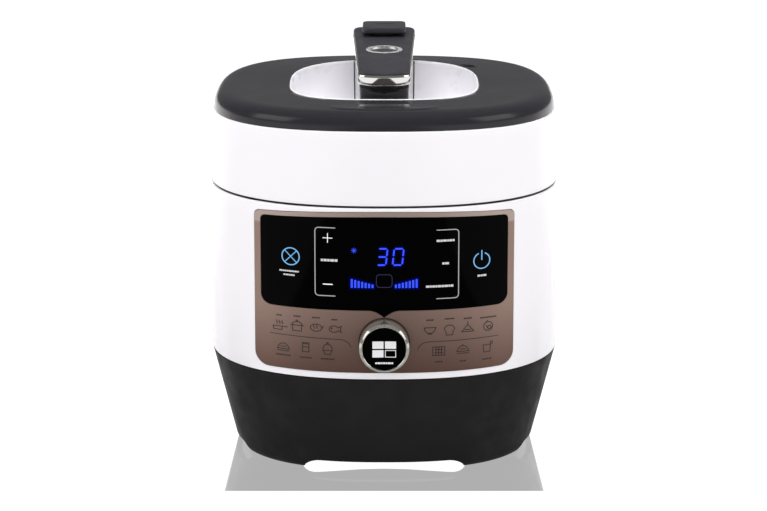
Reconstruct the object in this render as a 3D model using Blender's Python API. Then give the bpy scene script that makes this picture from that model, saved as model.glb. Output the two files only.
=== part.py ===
"""Electric pressure cooker with a rear-hinged lid.

Metres, +Z up, front towards -Y, origin on the floor under the centre.
"""

import math

import bmesh
import bpy
from mathutils import Matrix, Vector

# Gaps
GAP = 0.0003  # between pieces that touch
SEAM = 0.0018  # shadow line between the lid and the body

# Rounded-square casing: half-width, squareness exponent, height
DEPTH_RATIO = 0.9457
REAR_SQUARE = 1.1  # extra squareness of the rear corners
CASE_SIDES = 40
WALL = 0.0025
Z_BORDER = 0.0886
Z_SEAM = 0.2360
Z_PANEL = 0.3015
BASE_BOTTOM = (0.1240, 2.50, 0.0012)
BASE_UNDER_EDGE = (0.1292, 2.48, 0.0040)
BASE_KNEE = (0.1325, 2.45, 0.0095)
BASE_TOP = (0.1527, 2.33, Z_BORDER - GAP)
SHELL_LOW = (0.1527, 2.33, Z_BORDER)
SHELL_HIGH = (0.1520, 2.34, Z_SEAM)
LID_LOW = (0.1517, 2.34, Z_SEAM + SEAM)
LID_HIGH = (0.1491, 2.44, Z_PANEL - 0.0006)
PANEL_EDGE = (0.1483, 2.46, Z_PANEL)

# Lid top: the dome rises from its edge to the rim of the finger dish
DISH_A, DISH_B, DISH_N = 0.0825, 0.0850, 2.87
DISH_FLOOR_Z = 0.2860
DISH_FLOOR_SCALE = 0.74
RIM_SIDE_Z, RIM_TILT, RIM_SADDLE = 0.3190, 0.0035, 0.0025
SHOULDER = 0.35  # share of the way from the edge to the dish taken by the rounded shoulder
SHOULDER_RISE = 0.92
SHOULDER_POWER = 3.0

# Pot well, round
ROUND_SIDES = 32
POT_R, POT_WALL, POT_BOTTOM, POT_TOP = 0.1100, 0.0015, 0.0735, 0.2300
POT_RIM_R = 0.1165
WELL_R, WELL_WALL, WELL_BOTTOM, WELL_TOP = 0.1135, 0.0012, 0.0480, 0.2277
WELL_FLANGE_R = 0.1300
LUGS = 6
GAP_SHARE, TOOTH_SHARE = 0.52, 0.42  # shares of each pitch: the openings between lugs, and the teeth
LUG_R, LUG_LOW, LUG_HIGH = 0.1188, 0.2322, 0.2345
TOOTH_R, TOOTH_LOW, TOOTH_HIGH = 0.1213, 0.2285, 0.2316
RING_WALL_IN, RING_WALL_OUT = 0.1171, 0.1183

# Lid works
PLATE_R, PLATE_LOW, PLATE_HIGH = 0.1085, 0.2315, 0.2333
LINER_LOW, LINER_HIGH = 0.2385, 0.2405
STEAM_Y, STEAM_R_OUT, STEAM_R_IN = 0.0620, 0.0060, 0.0042
FLOAT_X, FLOAT_Y, FLOAT_R = 0.0760, 0.0700, 0.0025
GUIDE_RADIUS = 0.1025

# Handle: bar from front to back over the dish
HANDLE_FRONT, HANDLE_BACK = -0.0780, 0.0900
HANDLE_FRONT_W, HANDLE_BACK_W = 0.0221, 0.0281
BAND_FRONT_LOW, BAND_FRONT_HIGH = 0.3285, 0.3375
BAND_BACK_LOW, BAND_BACK_HIGH = 0.3440, 0.3490
HANDLE_TOP_FRONT, HANDLE_TOP_BACK = 0.3455, 0.3552
HANDLE_NOSE = 0.0400  # length of the rounded fall to the front end
BUTTON_Y = -0.0090
RING_A, RING_B = 0.0160, 0.0154
RING_BORE = 0.84  # inner size of the ring as a share of its outer size
BUTTON_TILT = 0.055  # slope of the ring and the button along the handle's top

BADGE_Y = -0.1150

# Valve block on the rear of the handle
VALVE_HALF, VALVE_FRONT, VALVE_BACK = 0.0192, 0.0410, 0.0830
VALVE_LOW, VALVE_HIGH = 0.3557, 0.3612

# Front panel
FRAME_HALF, FRAME_LOW, FRAME_HIGH, FRAME_ARCH = 0.1100, 0.0945, 0.2290, 0.0040
GLASS_HALF, GLASS_LOW, GLASS_HIGH, GLASS_TIP = 0.1044, 0.1486, 0.2255, 0.0059
KNOB_Z, KNOB_R, KNOB_BACK, KNOB_FRONT = 0.1205, 0.0212, -0.1462, -0.1660
KNOB_BORE = 0.0184
KNOB_HOLE = 0.0070

# Rear: hinge, inlet and condensate cup
HINGE_Y, HINGE_Z, HINGE_R = 0.1530, 0.2400, 0.0065
PIN_R = 0.0025
INLET_X, INLET_Z, INLET_BACK = 0.0620, 0.0450, 0.1400
CUP_HALF, CUP_LOW, CUP_HIGH, CUP_FRONT, CUP_BACK = 0.0300, 0.1320, 0.1820, 0.1482, 0.1660

# Feet
FOOT_R, FOOT_HIGH = 0.0090, 0.0026
FOOT_X, FOOT_Y = 0.0860, 0.0810
ARCH_HALF, ARCH_HIGH = 0.0577, 0.0095


# ---------------------------------------------------------------- materials

def material(name, colour, roughness=0.5, metallic=0.0, alpha=1.0):
    found = bpy.data.materials.get(name)
    if found:
        return found
    made = bpy.data.materials.new(name)
    made.use_nodes = True
    shader = made.node_tree.nodes["Principled BSDF"]
    shader.inputs["Base Color"].default_value = (*colour, 1.0)
    shader.inputs["Roughness"].default_value = roughness
    shader.inputs["Metallic"].default_value = metallic
    shader.inputs["Alpha"].default_value = alpha
    return made


def white():
    return material("white_gloss_plastic", (0.86, 0.85, 0.88), 0.15)


def base_black():
    return material("charcoal_matte_plastic", (0.018, 0.017, 0.019), 0.45)


def lid_charcoal():
    return material("charcoal_gloss_plastic", (0.045, 0.043, 0.050), 0.12)


def soft_black():
    return material("soft_touch_black", (0.060, 0.060, 0.066), 0.6)


def chrome():
    return material("chrome", (0.80, 0.79, 0.78), 0.08, 1.0)


def steel():
    return material("brushed_steel", (0.62, 0.62, 0.62), 0.3, 1.0)


def bronze():
    return material("bronze_panel", (0.25, 0.16, 0.13), 0.35, 0.8)


def glass_black():
    return material("black_glass", (0.004, 0.004, 0.005), 0.05)


def grey_plastic():
    return material("grey_plastic", (0.30, 0.30, 0.31), 0.5)


def circuit_green():
    return material("circuit_board", (0.03, 0.16, 0.07), 0.5)


def rubber():
    return material("black_rubber", (0.015, 0.015, 0.015), 0.8)


def silicone():
    return material("clear_silicone", (0.72, 0.72, 0.70), 0.45)


def brass():
    return material("brass", (0.70, 0.52, 0.22), 0.3, 1.0)


def aluminium():
    return material("cast_aluminium", (0.55, 0.55, 0.56), 0.4, 1.0)


def pot_coat():
    return material("nonstick_coat", (0.060, 0.060, 0.065), 0.4, 0.3)


def smoke():
    return material("smoke_plastic", (0.45, 0.47, 0.50), 0.2)


# ---------------------------------------------------------------- mesh helpers

def finish(name, mesh, surface, smooth=True):
    """Makes the node's object from a bmesh, with outward faces and smooth round sides."""
    bmesh.ops.recalc_face_normals(mesh, faces=mesh.faces)
    data = bpy.data.meshes.new(name)
    mesh.to_mesh(data)
    mesh.free()
    if smooth:
        data.shade_smooth()
        data.set_sharp_from_angle(angle=math.radians(32))
    made = bpy.data.objects.new(name, data)
    data.materials.append(surface)
    bpy.context.scene.collection.objects.link(made)
    return made


def add_loft(mesh, rings, closed=False):
    """Quads between successive rings; closed joins the last ring to the first, else both ends are capped."""
    loops = [[mesh.verts.new(p) for p in ring] for ring in rings]
    pairs = list(zip(loops, loops[1:]))
    if closed:
        pairs.append((loops[-1], loops[0]))
    for low, high in pairs:
        for i in range(len(low)):
            j = (i + 1) % len(low)
            mesh.faces.new((low[i], low[j], high[j], high[i]))
    if not closed:
        mesh.faces.new(list(reversed(loops[0])))
        mesh.faces.new(loops[-1])


def loft(name, rings, surface, closed=False, smooth=True):
    mesh = bmesh.new()
    add_loft(mesh, rings, closed)
    return finish(name, mesh, surface, smooth)


def superellipse(a, b, n, z, sides=CASE_SIDES, rear=0.0):
    """Ring of a rounded square; z is a height or a function of the angle, rear squares the back."""
    ring = []
    for i in range(sides):
        t = math.tau * i / sides
        c, s = math.cos(t), math.sin(t)
        power = n + rear * math.sqrt(max(0.0, s))
        r = (abs(c / a) ** power + abs(s / b) ** power) ** (-1 / power)
        ring.append(Vector((r * c, r * s, z(t) if callable(z) else z)))
    return ring


def case_ring(station, inset=0.0, lift=0.0):
    a, n, z = station
    return superellipse(a - inset, a * DEPTH_RATIO - inset, n, z + lift, rear=REAR_SQUARE)


def between(low, high, z):
    """Casing station at height z on the straight wall from low to high."""
    k = (z - low[2]) / (high[2] - low[2])
    return (low[0] + k * (high[0] - low[0]), low[1] + k * (high[1] - low[1]), z)


def circle(r, z, sides=ROUND_SIDES, x=0.0, y=0.0):
    return [
        Vector((x + r * math.cos(math.tau * i / sides), y + r * math.sin(math.tau * i / sides), z))
        for i in range(sides)
    ]


def turned(name, profile, surface, sides=ROUND_SIDES, x=0.0, y=0.0, closed=False):
    """Body turned about a vertical axis at x, y from (radius, height) pairs."""
    return loft(name, [circle(r, z, sides, x, y) for r, z in profile], surface, closed)


def tube(name, r_out, r_in, low, high, surface, sides=24, x=0.0, y=0.0):
    profile = [(r_out, low), (r_out, high), (r_in, high), (r_in, low)]
    return turned(name, profile, surface, sides, x, y, closed=True)


def to_front(made, y):
    """Turns a body made along +Z so that its +Z points to the front, and carries its origin to height KNOB_Z."""
    made.data.transform(Matrix.Rotation(math.radians(90), 4, "X"))
    made.location = (0.0, y, KNOB_Z)
    return made


def box_mesh(low, high):
    mesh = bmesh.new()
    size = Vector(high) - Vector(low)
    centre = (Vector(high) + Vector(low)) / 2
    place = Matrix.Translation(centre) @ Matrix.Diagonal((*size, 1.0))
    bmesh.ops.create_cube(mesh, size=1.0, matrix=place)
    return mesh


def box(name, low, high, surface, bevel=0.0):
    mesh = box_mesh(low, high)
    if bevel:
        bmesh.ops.bevel(
            mesh, geom=list(mesh.edges), offset=bevel, segments=1, profile=0.5, affect="EDGES"
        )
    return finish(name, mesh, surface, smooth=False)


def prism_mesh(points, start, end, axis="Z"):
    """Extrudes a flat outline from start to end along an axis; Y takes (x, z) points and X takes (y, z) points."""
    def place(p, h):
        if axis == "Y":
            return (p[0], h, p[1])
        if axis == "X":
            return (h, p[0], p[1])
        return (p[0], p[1], h)

    mesh = bmesh.new()
    add_loft(mesh, [[place(p, start) for p in points], [place(p, end) for p in points]])
    bmesh.ops.recalc_face_normals(mesh, faces=mesh.faces)
    return mesh


def prism(name, points, start, end, surface, axis="Z", smooth=True):
    return finish(name, prism_mesh(points, start, end, axis), surface, smooth)


def as_cutter(made):
    """Marks an object as a tool shape, which isn't part of the model."""
    made.hide_render = True
    made.display_type = "WIRE"
    return made


def boolean(target, tool, operation="DIFFERENCE"):
    as_cutter(tool)
    step = target.modifiers.new(f"{operation.lower()} {tool.name}", "BOOLEAN")
    step.operation = operation
    step.object = tool
    step.solver = "EXACT"
    return target


def bore(target, r, low, high, x=0.0, y=0.0, sides=16):
    """Vertical round hole."""
    tool = turned(f"bore_{target.name}", [(r, low), (r, high)], grey_plastic(), sides, x, y)
    return boolean(target, tool)


def rounded_rect(half_x, low, high, r_low, r_high, steps=4, arch=0.0):
    """Outline with round corners as (x, z) points; arch lifts the middle of the top edge."""
    points = []
    corners = [
        (half_x - r_low, low + r_low, r_low, -90),
        (half_x - r_high, high - r_high, r_high, 0),
        (-half_x + r_high, high - r_high, r_high, 90),
        (-half_x + r_low, low + r_low, r_low, 180),
    ]
    for index, (cx, cz, r, start) in enumerate(corners):
        for k in range(steps + 1):
            t = math.radians(start + 90 * k / steps)
            points.append((cx + r * math.cos(t), cz + r * math.sin(t)))
        if index == 1 and arch:
            span = half_x - r_high
            for k in range(1, 12):
                x = span * (1 - k / 6)
                points.append((x, high + arch * (1 - (x / span) ** 2)))
    return points


# ---------------------------------------------------------------- base and body

def base_outer():
    """Rings of the tapered base from its lower edge to its border."""
    middle = between(BASE_KNEE, BASE_TOP, 0.048)
    return [case_ring(s) for s in (BASE_BOTTOM, BASE_UNDER_EDGE, BASE_KNEE, middle, BASE_TOP)]


def base_housing():
    inner = [case_ring(s, WALL) for s in (BASE_TOP, between(BASE_KNEE, BASE_TOP, 0.048), BASE_KNEE)]
    land = [case_ring((BASE_UNDER_EDGE[0], BASE_UNDER_EDGE[1], 0.0062), WALL),
        superellipse(0.100, 0.094, 2.5, 0.0062)]
    foot = [superellipse(0.100, 0.094, 2.5, BASE_BOTTOM[2])]
    made = loft("base_housing", base_outer() + inner + land + foot, base_black(), closed=True)
    for axis, name in (("Y", "arch_front_back"), ("X", "arch_sides")):
        half, top = ARCH_HALF, ARCH_HIGH
        outline = [(-half - 0.012, -0.01), (-half - 0.012, 0.0), (-half - 0.004, top * 0.55),
            (-half + 0.002, top)]
        outline += [(-x, z) for x, z in reversed(outline)]
        boolean(made, prism(name, outline, -0.2, 0.2, base_black(), axis))
    for index, (x, y) in enumerate(foot_places()):
        tool = turned(f"foot_pocket_{index}", [(FOOT_R + GAP, -0.01), (FOOT_R + GAP, FOOT_HIGH + GAP)],
            rubber(), 16, x, y)
        boolean(made, tool)
    low, high = inlet_block(GAP)
    boolean(made, box("inlet_window", low, high, base_black()))
    return made


def foot_places():
    return [(x * FOOT_X, y * FOOT_Y) for y in (-1, 1) for x in (-1, 1)]


def feet():
    names = ("foot_front_left", "foot_front_right", "foot_back_left", "foot_back_right")
    for name, (x, y) in zip(names, foot_places()):
        turned(name, [(FOOT_R - 0.001, 0.0), (FOOT_R, 0.0008), (FOOT_R, FOOT_HIGH)], rubber(), 16, x, y)


def bottom_cover():
    """Plate that closes the base from below, with slots for cooling air, held by four screws."""
    rings = [superellipse(0.1290, 0.1217, 2.45, z, rear=REAR_SQUARE) for z in (0.0100, 0.0118)]
    made = loft("bottom_cover", rings, grey_plastic(), smooth=False)
    for k in range(-3, 4):
        boolean(made, box(f"air_slot_{k}", (k * 0.014 - 0.002, -0.045, 0.0),
            (k * 0.014 + 0.002, 0.045, 0.02), steel()))
    for index, (x, y) in enumerate(screw_places()):
        bore(made, 0.0021, 0.0, 0.02, x, y, 8)
        profile = [(0.0035, 0.0081), (0.0035, 0.0097), (0.0018, 0.0097), (0.0018, 0.0185)]
        turned(f"base_screw_{index + 1}", profile, steel(), 8, x, y)
    return made


def screw_places():
    return [(x * 0.078, y * 0.052) for y in (-1, 1) for x in (-1, 1)]


def body_shell():
    outer = [case_ring(SHELL_LOW), case_ring(between(SHELL_LOW, SHELL_HIGH, 0.16)),
        case_ring(SHELL_HIGH)]
    inner = [case_ring(SHELL_HIGH, WALL), case_ring(SHELL_LOW, WALL)]
    made = loft("body_shell", outer + inner, white(), closed=True)
    boolean(made, prism("panel_window", frame_outline(GAP), -0.2, -0.05, white(), "Y"))
    return made


def frame_outline(grow=0.0):
    return rounded_rect(
        FRAME_HALF + grow, FRAME_LOW - grow, FRAME_HIGH + grow, 0.012, 0.005, 4, FRAME_ARCH
    )


def glass_outline(grow=0.0):
    points = rounded_rect(GLASS_HALF + grow, GLASS_LOW - grow, GLASS_HIGH + grow, 0.009, 0.004, 4,
        FRAME_ARCH * 0.8)
    tip = [(-0.010, GLASS_LOW - grow), (0.0, GLASS_LOW - GLASS_TIP - grow), (0.010, GLASS_LOW - grow)]
    return points + tip


def wall_band(name, proud, deep, surface):
    """Strip of the casing wall at panel height, from proud of the wall to deep inside it."""
    low, high = between(SHELL_LOW, SHELL_HIGH, 0.090), between(SHELL_LOW, SHELL_HIGH, 0.2359)
    rings = [case_ring(low, -proud), case_ring(high, -proud), case_ring(high, deep),
        case_ring(low, deep)]
    return loft(name, rings, surface, closed=True)


def front_panel():
    """Bronze frame let into the shell, with the black touch glass let into the frame."""
    frame = wall_band("fascia_frame", 0.0005, 0.0024, bronze())
    boolean(frame, prism("fascia_outline", frame_outline(), -0.2, -0.05, bronze(), "Y"), "INTERSECT")
    boolean(frame, prism("glass_window", glass_outline(GAP), -0.2, -0.05, bronze(), "Y"))
    hole = to_front(turned("dial_hole", [(KNOB_HOLE + 0.0006, -0.05), (KNOB_HOLE + 0.0006, 0.05)],
        bronze(), 22), -0.144)
    boolean(frame, hole)
    glass = wall_band("display_glass", 0.0007, 0.0018, glass_black())
    boolean(glass, prism("glass_shape", glass_outline(), -0.2, -0.05, bronze(), "Y"), "INTERSECT")


def dial():
    """Turning chrome dial with a push button in its middle, and the switch behind the panel that reads both."""
    length = KNOB_BACK - KNOB_FRONT
    seat = length - 0.0050
    profile = [
        (KNOB_HOLE, -0.0080), (KNOB_HOLE, 0.0), (KNOB_R, 0.0), (KNOB_R - 0.0005, length - 0.0012),
        (KNOB_R - 0.0018, length), (KNOB_BORE + 0.0008, length), (KNOB_BORE, length - 0.0012),
        (KNOB_BORE, seat), (0.0045, seat), (0.0045, -0.0080),
    ]
    to_front(turned("dial_ring", profile, chrome(), 40, closed=True), KNOB_BACK)
    face = seat + 0.0022
    profile = [
        (0.0042, -0.0110), (0.0042, face), (KNOB_BORE - 0.0004, face),
        (KNOB_BORE - 0.0004, length - 0.0010), (KNOB_BORE - 0.0010, length - 0.0004),
    ]
    to_front(turned("menu_button", profile, glass_black(), 32), KNOB_BACK)
    box("encoder_switch", (-0.011, -0.1338, KNOB_Z - 0.011), (0.011, -0.1272, KNOB_Z + 0.011),
        grey_plastic(), 0.001)


def electronics():
    box("control_board", (-0.060, -0.1268, 0.104), (0.060, -0.1252, 0.215), circuit_green())
    box("display_module", (-0.034, -0.1335, 0.172), (0.034, -0.1272, 0.208), grey_plastic(), 0.001)
    box("power_board", (-0.085, -0.060, 0.0200), (0.020, 0.045, 0.0216), circuit_green())
    box("transformer", (-0.045, -0.040, 0.0220), (-0.010, -0.005, 0.0360), aluminium(), 0.001)
    turned("pressure_switch", [(0.012, 0.0300), (0.012, 0.0400), (0.005, 0.0400), (0.005, 0.0460)],
        brass(), 16, 0.055, -0.040)


def inlet_block(grow=0.0):
    return (
        (INLET_X - 0.0260 - grow, 0.1180 - grow, INLET_Z - 0.0170 - grow),
        (INLET_X + 0.0260 + grow, INLET_BACK + grow, INLET_Z + 0.0170 + grow),
    )


def power_inlet():
    """Mains socket with three blades, let into the back of the base."""
    low, high = inlet_block()
    made = box("power_inlet", low, high, base_black(), 0.0012)
    mouth = [
        (INLET_X - 0.0120, INLET_Z - 0.0082), (INLET_X + 0.0120, INLET_Z - 0.0082),
        (INLET_X + 0.0120, INLET_Z + 0.0040), (INLET_X + 0.0075, INLET_Z + 0.0082),
        (INLET_X - 0.0075, INLET_Z + 0.0082), (INLET_X - 0.0120, INLET_Z + 0.0040),
    ]
    boolean(made, prism("inlet_mouth", mouth, INLET_BACK - 0.0160, 0.2, base_black(), "Y"))
    for name, x, z in (("line", -0.0070, -0.0020), ("neutral", 0.0070, -0.0020),
            ("earth", 0.0, 0.0025)):
        centre = Vector((INLET_X + x, 0.0, INLET_Z + z))
        half = Vector((0.0011, 0.0, 0.0021))
        back, front = Vector((0, 0.1205, 0)), Vector((0, INLET_BACK - 0.0025, 0))
        pocket = half + Vector((GAP, 0, GAP))
        boolean(made, box(f"blade_slot_{name}", centre - pocket + back - Vector((0, GAP, 0)),
            centre + pocket + front, brass()))
        box(f"inlet_blade_{name}", centre - half + back, centre + half + front, brass())


# ---------------------------------------------------------------- pot well

def pot_well():
    r_out = WELL_R + WELL_WALL
    profile = [
        (0.0500, WELL_BOTTOM), (r_out - 0.006, WELL_BOTTOM), (r_out, WELL_BOTTOM + 0.006),
        (r_out, WELL_TOP - WELL_WALL), (WELL_FLANGE_R, WELL_TOP - WELL_WALL), (WELL_FLANGE_R, WELL_TOP),
        (WELL_R, WELL_TOP), (WELL_R, WELL_BOTTOM + 0.0066), (WELL_R - 0.0054, WELL_BOTTOM + WELL_WALL),
        (0.0500, WELL_BOTTOM + WELL_WALL),
    ]
    turned("outer_pot", profile, steel(), closed=True)


def inner_pot():
    r_out = POT_R + POT_WALL
    profile = [
        (POT_R - 0.016, POT_BOTTOM), (r_out - 0.004, POT_BOTTOM + 0.005), (r_out, POT_BOTTOM + 0.016),
        (r_out, POT_TOP - 0.0020), (POT_RIM_R, POT_TOP - 0.0020), (POT_RIM_R, POT_TOP),
        (POT_R, POT_TOP),
        (POT_R, POT_BOTTOM + 0.016), (POT_R - 0.004, POT_BOTTOM + 0.0065),
        (POT_R - 0.016, POT_BOTTOM + POT_WALL),
    ]
    turned("inner_pot", profile, pot_coat())


def heating_plate():
    profile = [(0.0170, 0.0580), (0.0860, 0.0580), (0.0880, 0.0600), (0.0880, 0.0700),
        (0.0840, POT_BOTTOM - GAP),
               (0.0170, POT_BOTTOM - GAP)]
    turned("heating_plate", profile, aluminium(), closed=True)


def sensor():
    """Sprung temperature probe in the middle of the heating plate; the pot's floor stays just above it."""
    profile = [(0.0040, 0.0400), (0.0040, 0.0600), (0.0120, 0.0600), (0.0120, POT_BOTTOM - GAP)]
    turned("temperature_sensor", profile, aluminium(), 20)
    turns, wire, coil_r, low, high = 3, 0.0007, 0.0075, 0.0455, 0.0590
    steps, sides = 12 * turns, 5
    rings = []
    for i in range(steps + 1):
        t = math.tau * turns * i / steps
        centre = Vector((coil_r * math.cos(t), coil_r * math.sin(t), low + (high - low) * i / steps))
        out = Vector((math.cos(t), math.sin(t), 0.0))
        ring = []
        for k in range(sides):
            u = math.tau * k / sides
            ring.append(centre + wire * (math.cos(u) * out + math.sin(u) * Vector((0, 0, 1))))
        rings.append(ring)
    loft("sensor_spring", rings, steel())
    turned("spring_seat", [(0.0046, 0.0430), (0.0110, 0.0430), (0.0110, 0.0446), (0.0046, 0.0446)],
        steel(), 20, closed=True)


def stepped_ring_points(r_full, r_gap, share, steps=4):
    """Plan outline that steps between two radii, with one raised stretch midway between each two lugs."""
    points = []
    for lug in range(LUGS):
        middle = math.tau * (lug + 0.5) / LUGS
        half = math.tau * share / LUGS / 2
        rest = math.tau / LUGS - 2 * half
        for k in range(steps + 1):
            t = middle - half + 2 * half * k / steps
            points.append((r_full * math.cos(t), r_full * math.sin(t)))
        for k in range(steps + 1):
            t = middle + half + rest * k / steps
            points.append((r_gap * math.cos(t), r_gap * math.sin(t)))
    return points


def locking_flange():
    """Steel ring on the well; its inward lugs hold down the teeth of the lid's ring."""
    made = tube("locking_flange", 0.1303, LUG_R, WELL_TOP + GAP, LUG_HIGH, steel(), 48)
    boolean(made, turned("lug_undercut", [(0.1222, 0.2), (0.1222, LUG_LOW)], steel(), 48))
    boolean(made, prism("lug_gaps", stepped_ring_points(0.1222, 0.1180, GAP_SHARE), LUG_LOW - 0.001,
        0.25, steel()))


def top_collar():
    """Moulded rim between the shell and the locking flange, with a shallow gutter for drips."""
    a, n = SHELL_HIGH[0] - WALL - GAP, SHELL_HIGH[1]
    rings = [
        superellipse(a, a * DEPTH_RATIO - 0.0001, n, 0.2290, rear=REAR_SQUARE),
        superellipse(a, a * DEPTH_RATIO - 0.0001, n, 0.2352, rear=REAR_SQUARE),
        superellipse(a - 0.004, a * DEPTH_RATIO - 0.004, n, 0.2352, rear=REAR_SQUARE),
        superellipse(0.1375, 0.1352, 2.1, 0.2325),
        superellipse(0.1330, 0.1330, 2.0, 0.2325),
        superellipse(0.1318, 0.1318, 2.0, 0.2350),
        superellipse(0.1310, 0.1310, 2.0, 0.2350),
        superellipse(0.1310, 0.1310, 2.0, 0.2290),
    ]
    loft("top_collar", rings, grey_plastic(), closed=True)


# ---------------------------------------------------------------- hinge, cup

def hinge():
    """Two fixed ears on the body and the lid's knuckle between them, on one steel pin."""
    wall_y = (SHELL_HIGH[0]) * DEPTH_RATIO + 0.0006
    ear = [(wall_y, 0.2150), (wall_y + 0.006, 0.2150)]
    ear += [(HINGE_Y + HINGE_R * math.cos(t), HINGE_Z + HINGE_R * math.sin(t))
            for t in (math.radians(a) for a in range(-20, 161, 20))]
    ear += [(HINGE_Y - HINGE_R * 1.0, 0.2365), (wall_y, 0.2335)]
    bracket = prism("hinge_bracket", ear, -0.036, 0.036, base_black(), "X")
    boolean(bracket, box("knuckle_gap", (-0.0224, HINGE_Y - 0.0085, HINGE_Z - 0.0085),
        (0.0224, 0.2, 0.26), base_black()))
    drill = [(HINGE_Y + (PIN_R + GAP) * math.cos(math.tau * i / 12),
        HINGE_Z + (PIN_R + GAP) * math.sin(math.tau * i / 12))
             for i in range(12)]
    boolean(bracket, prism("pin_bore_fixed", drill, -0.1, 0.1, base_black(), "X"))
    knuckle = [(HINGE_Y + HINGE_R * math.cos(t), HINGE_Z + HINGE_R * math.sin(t))
               for t in (math.radians(a) for a in range(-120, 121, 20))]
    lid_wall = LID_LOW[0] * DEPTH_RATIO + 0.0004
    knuckle += [(HINGE_Y - 0.002, HINGE_Z + 0.014), (lid_wall + 0.0004, HINGE_Z + 0.018),
        (lid_wall + 0.0004, HINGE_Z + 0.001)]
    arm = prism("lid_hinge_arm", knuckle, -0.0220, 0.0220, base_black(), "X")
    boolean(arm, prism("pin_bore_arm", drill, -0.1, 0.1, base_black(), "X"))
    pin = [(HINGE_Y + PIN_R * math.cos(math.tau * i / 12),
        HINGE_Z + PIN_R * math.sin(math.tau * i / 12)) for i in range(12)]
    prism("hinge_pin", pin, -0.0372, 0.0372, steel(), "X")


def condensate():
    """Cup that collects drips at the back, and the holder it slides out of."""
    outline = [(-0.0365, 0.1250), (0.0365, 0.1250), (0.0365, 0.1930), (-0.0365, 0.1930)]
    holder = prism("cup_holder", outline, 0.1395, 0.1650, base_black(), "Y", smooth=False)
    stations = [between(SHELL_LOW, SHELL_HIGH, z) for z in (0.12, 0.20)]
    boolean(holder, loft("holder_seat", [case_ring(s, -GAP) for s in stations], base_black()))
    boolean(holder, box("holder_bay", (-0.0340, 0.1475, 0.1285), (0.0340, 0.2, 0.1860), base_black()))
    cup = box("condensate_cup", (-CUP_HALF, CUP_FRONT, CUP_LOW - 0.0030),
        (CUP_HALF, CUP_BACK, CUP_HIGH), smoke(), 0.0015)
    boolean(cup, box("cup_hollow", (-CUP_HALF + 0.0018, CUP_FRONT + 0.0018, CUP_LOW),
        (CUP_HALF - 0.0018, CUP_BACK - 0.0018, 0.3), smoke()))


# ---------------------------------------------------------------- lid

def rim_z(t):
    s = math.sin(t)
    return RIM_SIDE_Z + RIM_TILT * s + RIM_SADDLE * s * s


def dome_ring(k, drop=0.0, spread=0.0):
    """Ring of the lid's dark top: k runs from 0 at the outer edge to 1 at the dish."""
    a = PANEL_EDGE[0] + k * (DISH_A + 0.0008 - PANEL_EDGE[0])
    b = PANEL_EDGE[0] * DEPTH_RATIO + k * (DISH_B + 0.0008 - PANEL_EDGE[0] * DEPTH_RATIO)
    n = PANEL_EDGE[1] + k * (DISH_N - PANEL_EDGE[1])
    if k < SHOULDER:
        rise = SHOULDER_RISE * (1 - (1 - k / SHOULDER) ** SHOULDER_POWER) ** (1 / SHOULDER_POWER)
    else:
        rise = SHOULDER_RISE + (1 - SHOULDER_RISE) * (k - SHOULDER) / (1 - SHOULDER)

    def height(t):
        return PANEL_EDGE[2] + (rim_z(t) - PANEL_EDGE[2]) * rise - drop

    return superellipse(a - spread, b - spread, n, height, rear=REAR_SQUARE * (1 - k))


def lid_shell():
    outer = [case_ring(LID_LOW), case_ring(between(LID_LOW, LID_HIGH, 0.27)), case_ring(LID_HIGH)]
    lip = [case_ring(LID_HIGH, 0.0034), case_ring(LID_HIGH, 0.0034, -0.0050)]
    inner = [case_ring(LID_HIGH, WALL, -0.0065), case_ring(LID_LOW, WALL)]
    loft("lid_shell", outer + lip + inner, white(), closed=True)


def lid_top_panel():
    upper = [dome_ring(k) for k in (0.0, 0.012, 0.045, 0.11, 0.22, 0.55, 1.0)]
    lower = [dome_ring(k, 0.0024) for k in (1.0, 0.50, 0.16, 0.05)]
    made = loft("lid_top_panel", upper + lower + [dome_ring(0.0, 0.0, 0.0030)], lid_charcoal(),
        closed=True)
    return bore(made, 0.0078, 0.29, 0.34, FLOAT_X, FLOAT_Y, 16)


def dish_ring(scale, z, thick=0.0):
    return superellipse(DISH_A * scale - thick, DISH_B * scale - thick, DISH_N + (1 - scale) * -1.2, z)


def recess_bowl():
    """White finger dish under the handle, with a thin raised rim."""
    def level(k, drop=0.0):
        return lambda t: DISH_FLOOR_Z + (rim_z(t) - DISH_FLOOR_Z) * k - drop

    inner = [
        dish_ring(1.0, level(1.0, -0.0008)), dish_ring(0.985, level(1.0, -0.0008)),
        dish_ring(0.965, level(0.80)),
        dish_ring(0.93, level(0.42)), dish_ring(0.86, level(0.12)),
        dish_ring(DISH_FLOOR_SCALE, level(0.0)),
    ]
    outer = [
        dish_ring(DISH_FLOOR_SCALE, level(0.0, 0.0022)), dish_ring(0.885, level(0.10, 0.0022)),
        dish_ring(0.958, level(0.42, 0.0016)), dish_ring(1.0, level(0.80, 0.001)),
    ]
    mesh = bmesh.new()
    rings = list(reversed(inner)) + list(reversed(outer))
    add_loft(mesh, rings)
    made = finish("recess_bowl", mesh, white())
    bore(made, STEAM_R_OUT + 0.0004, 0.27, 0.33, 0.0, STEAM_Y, 20)
    return made


def handle_width(y):
    k = (y - HANDLE_FRONT) / (HANDLE_BACK - HANDLE_FRONT)
    return HANDLE_FRONT_W + k * (HANDLE_BACK_W - HANDLE_FRONT_W)


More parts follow.
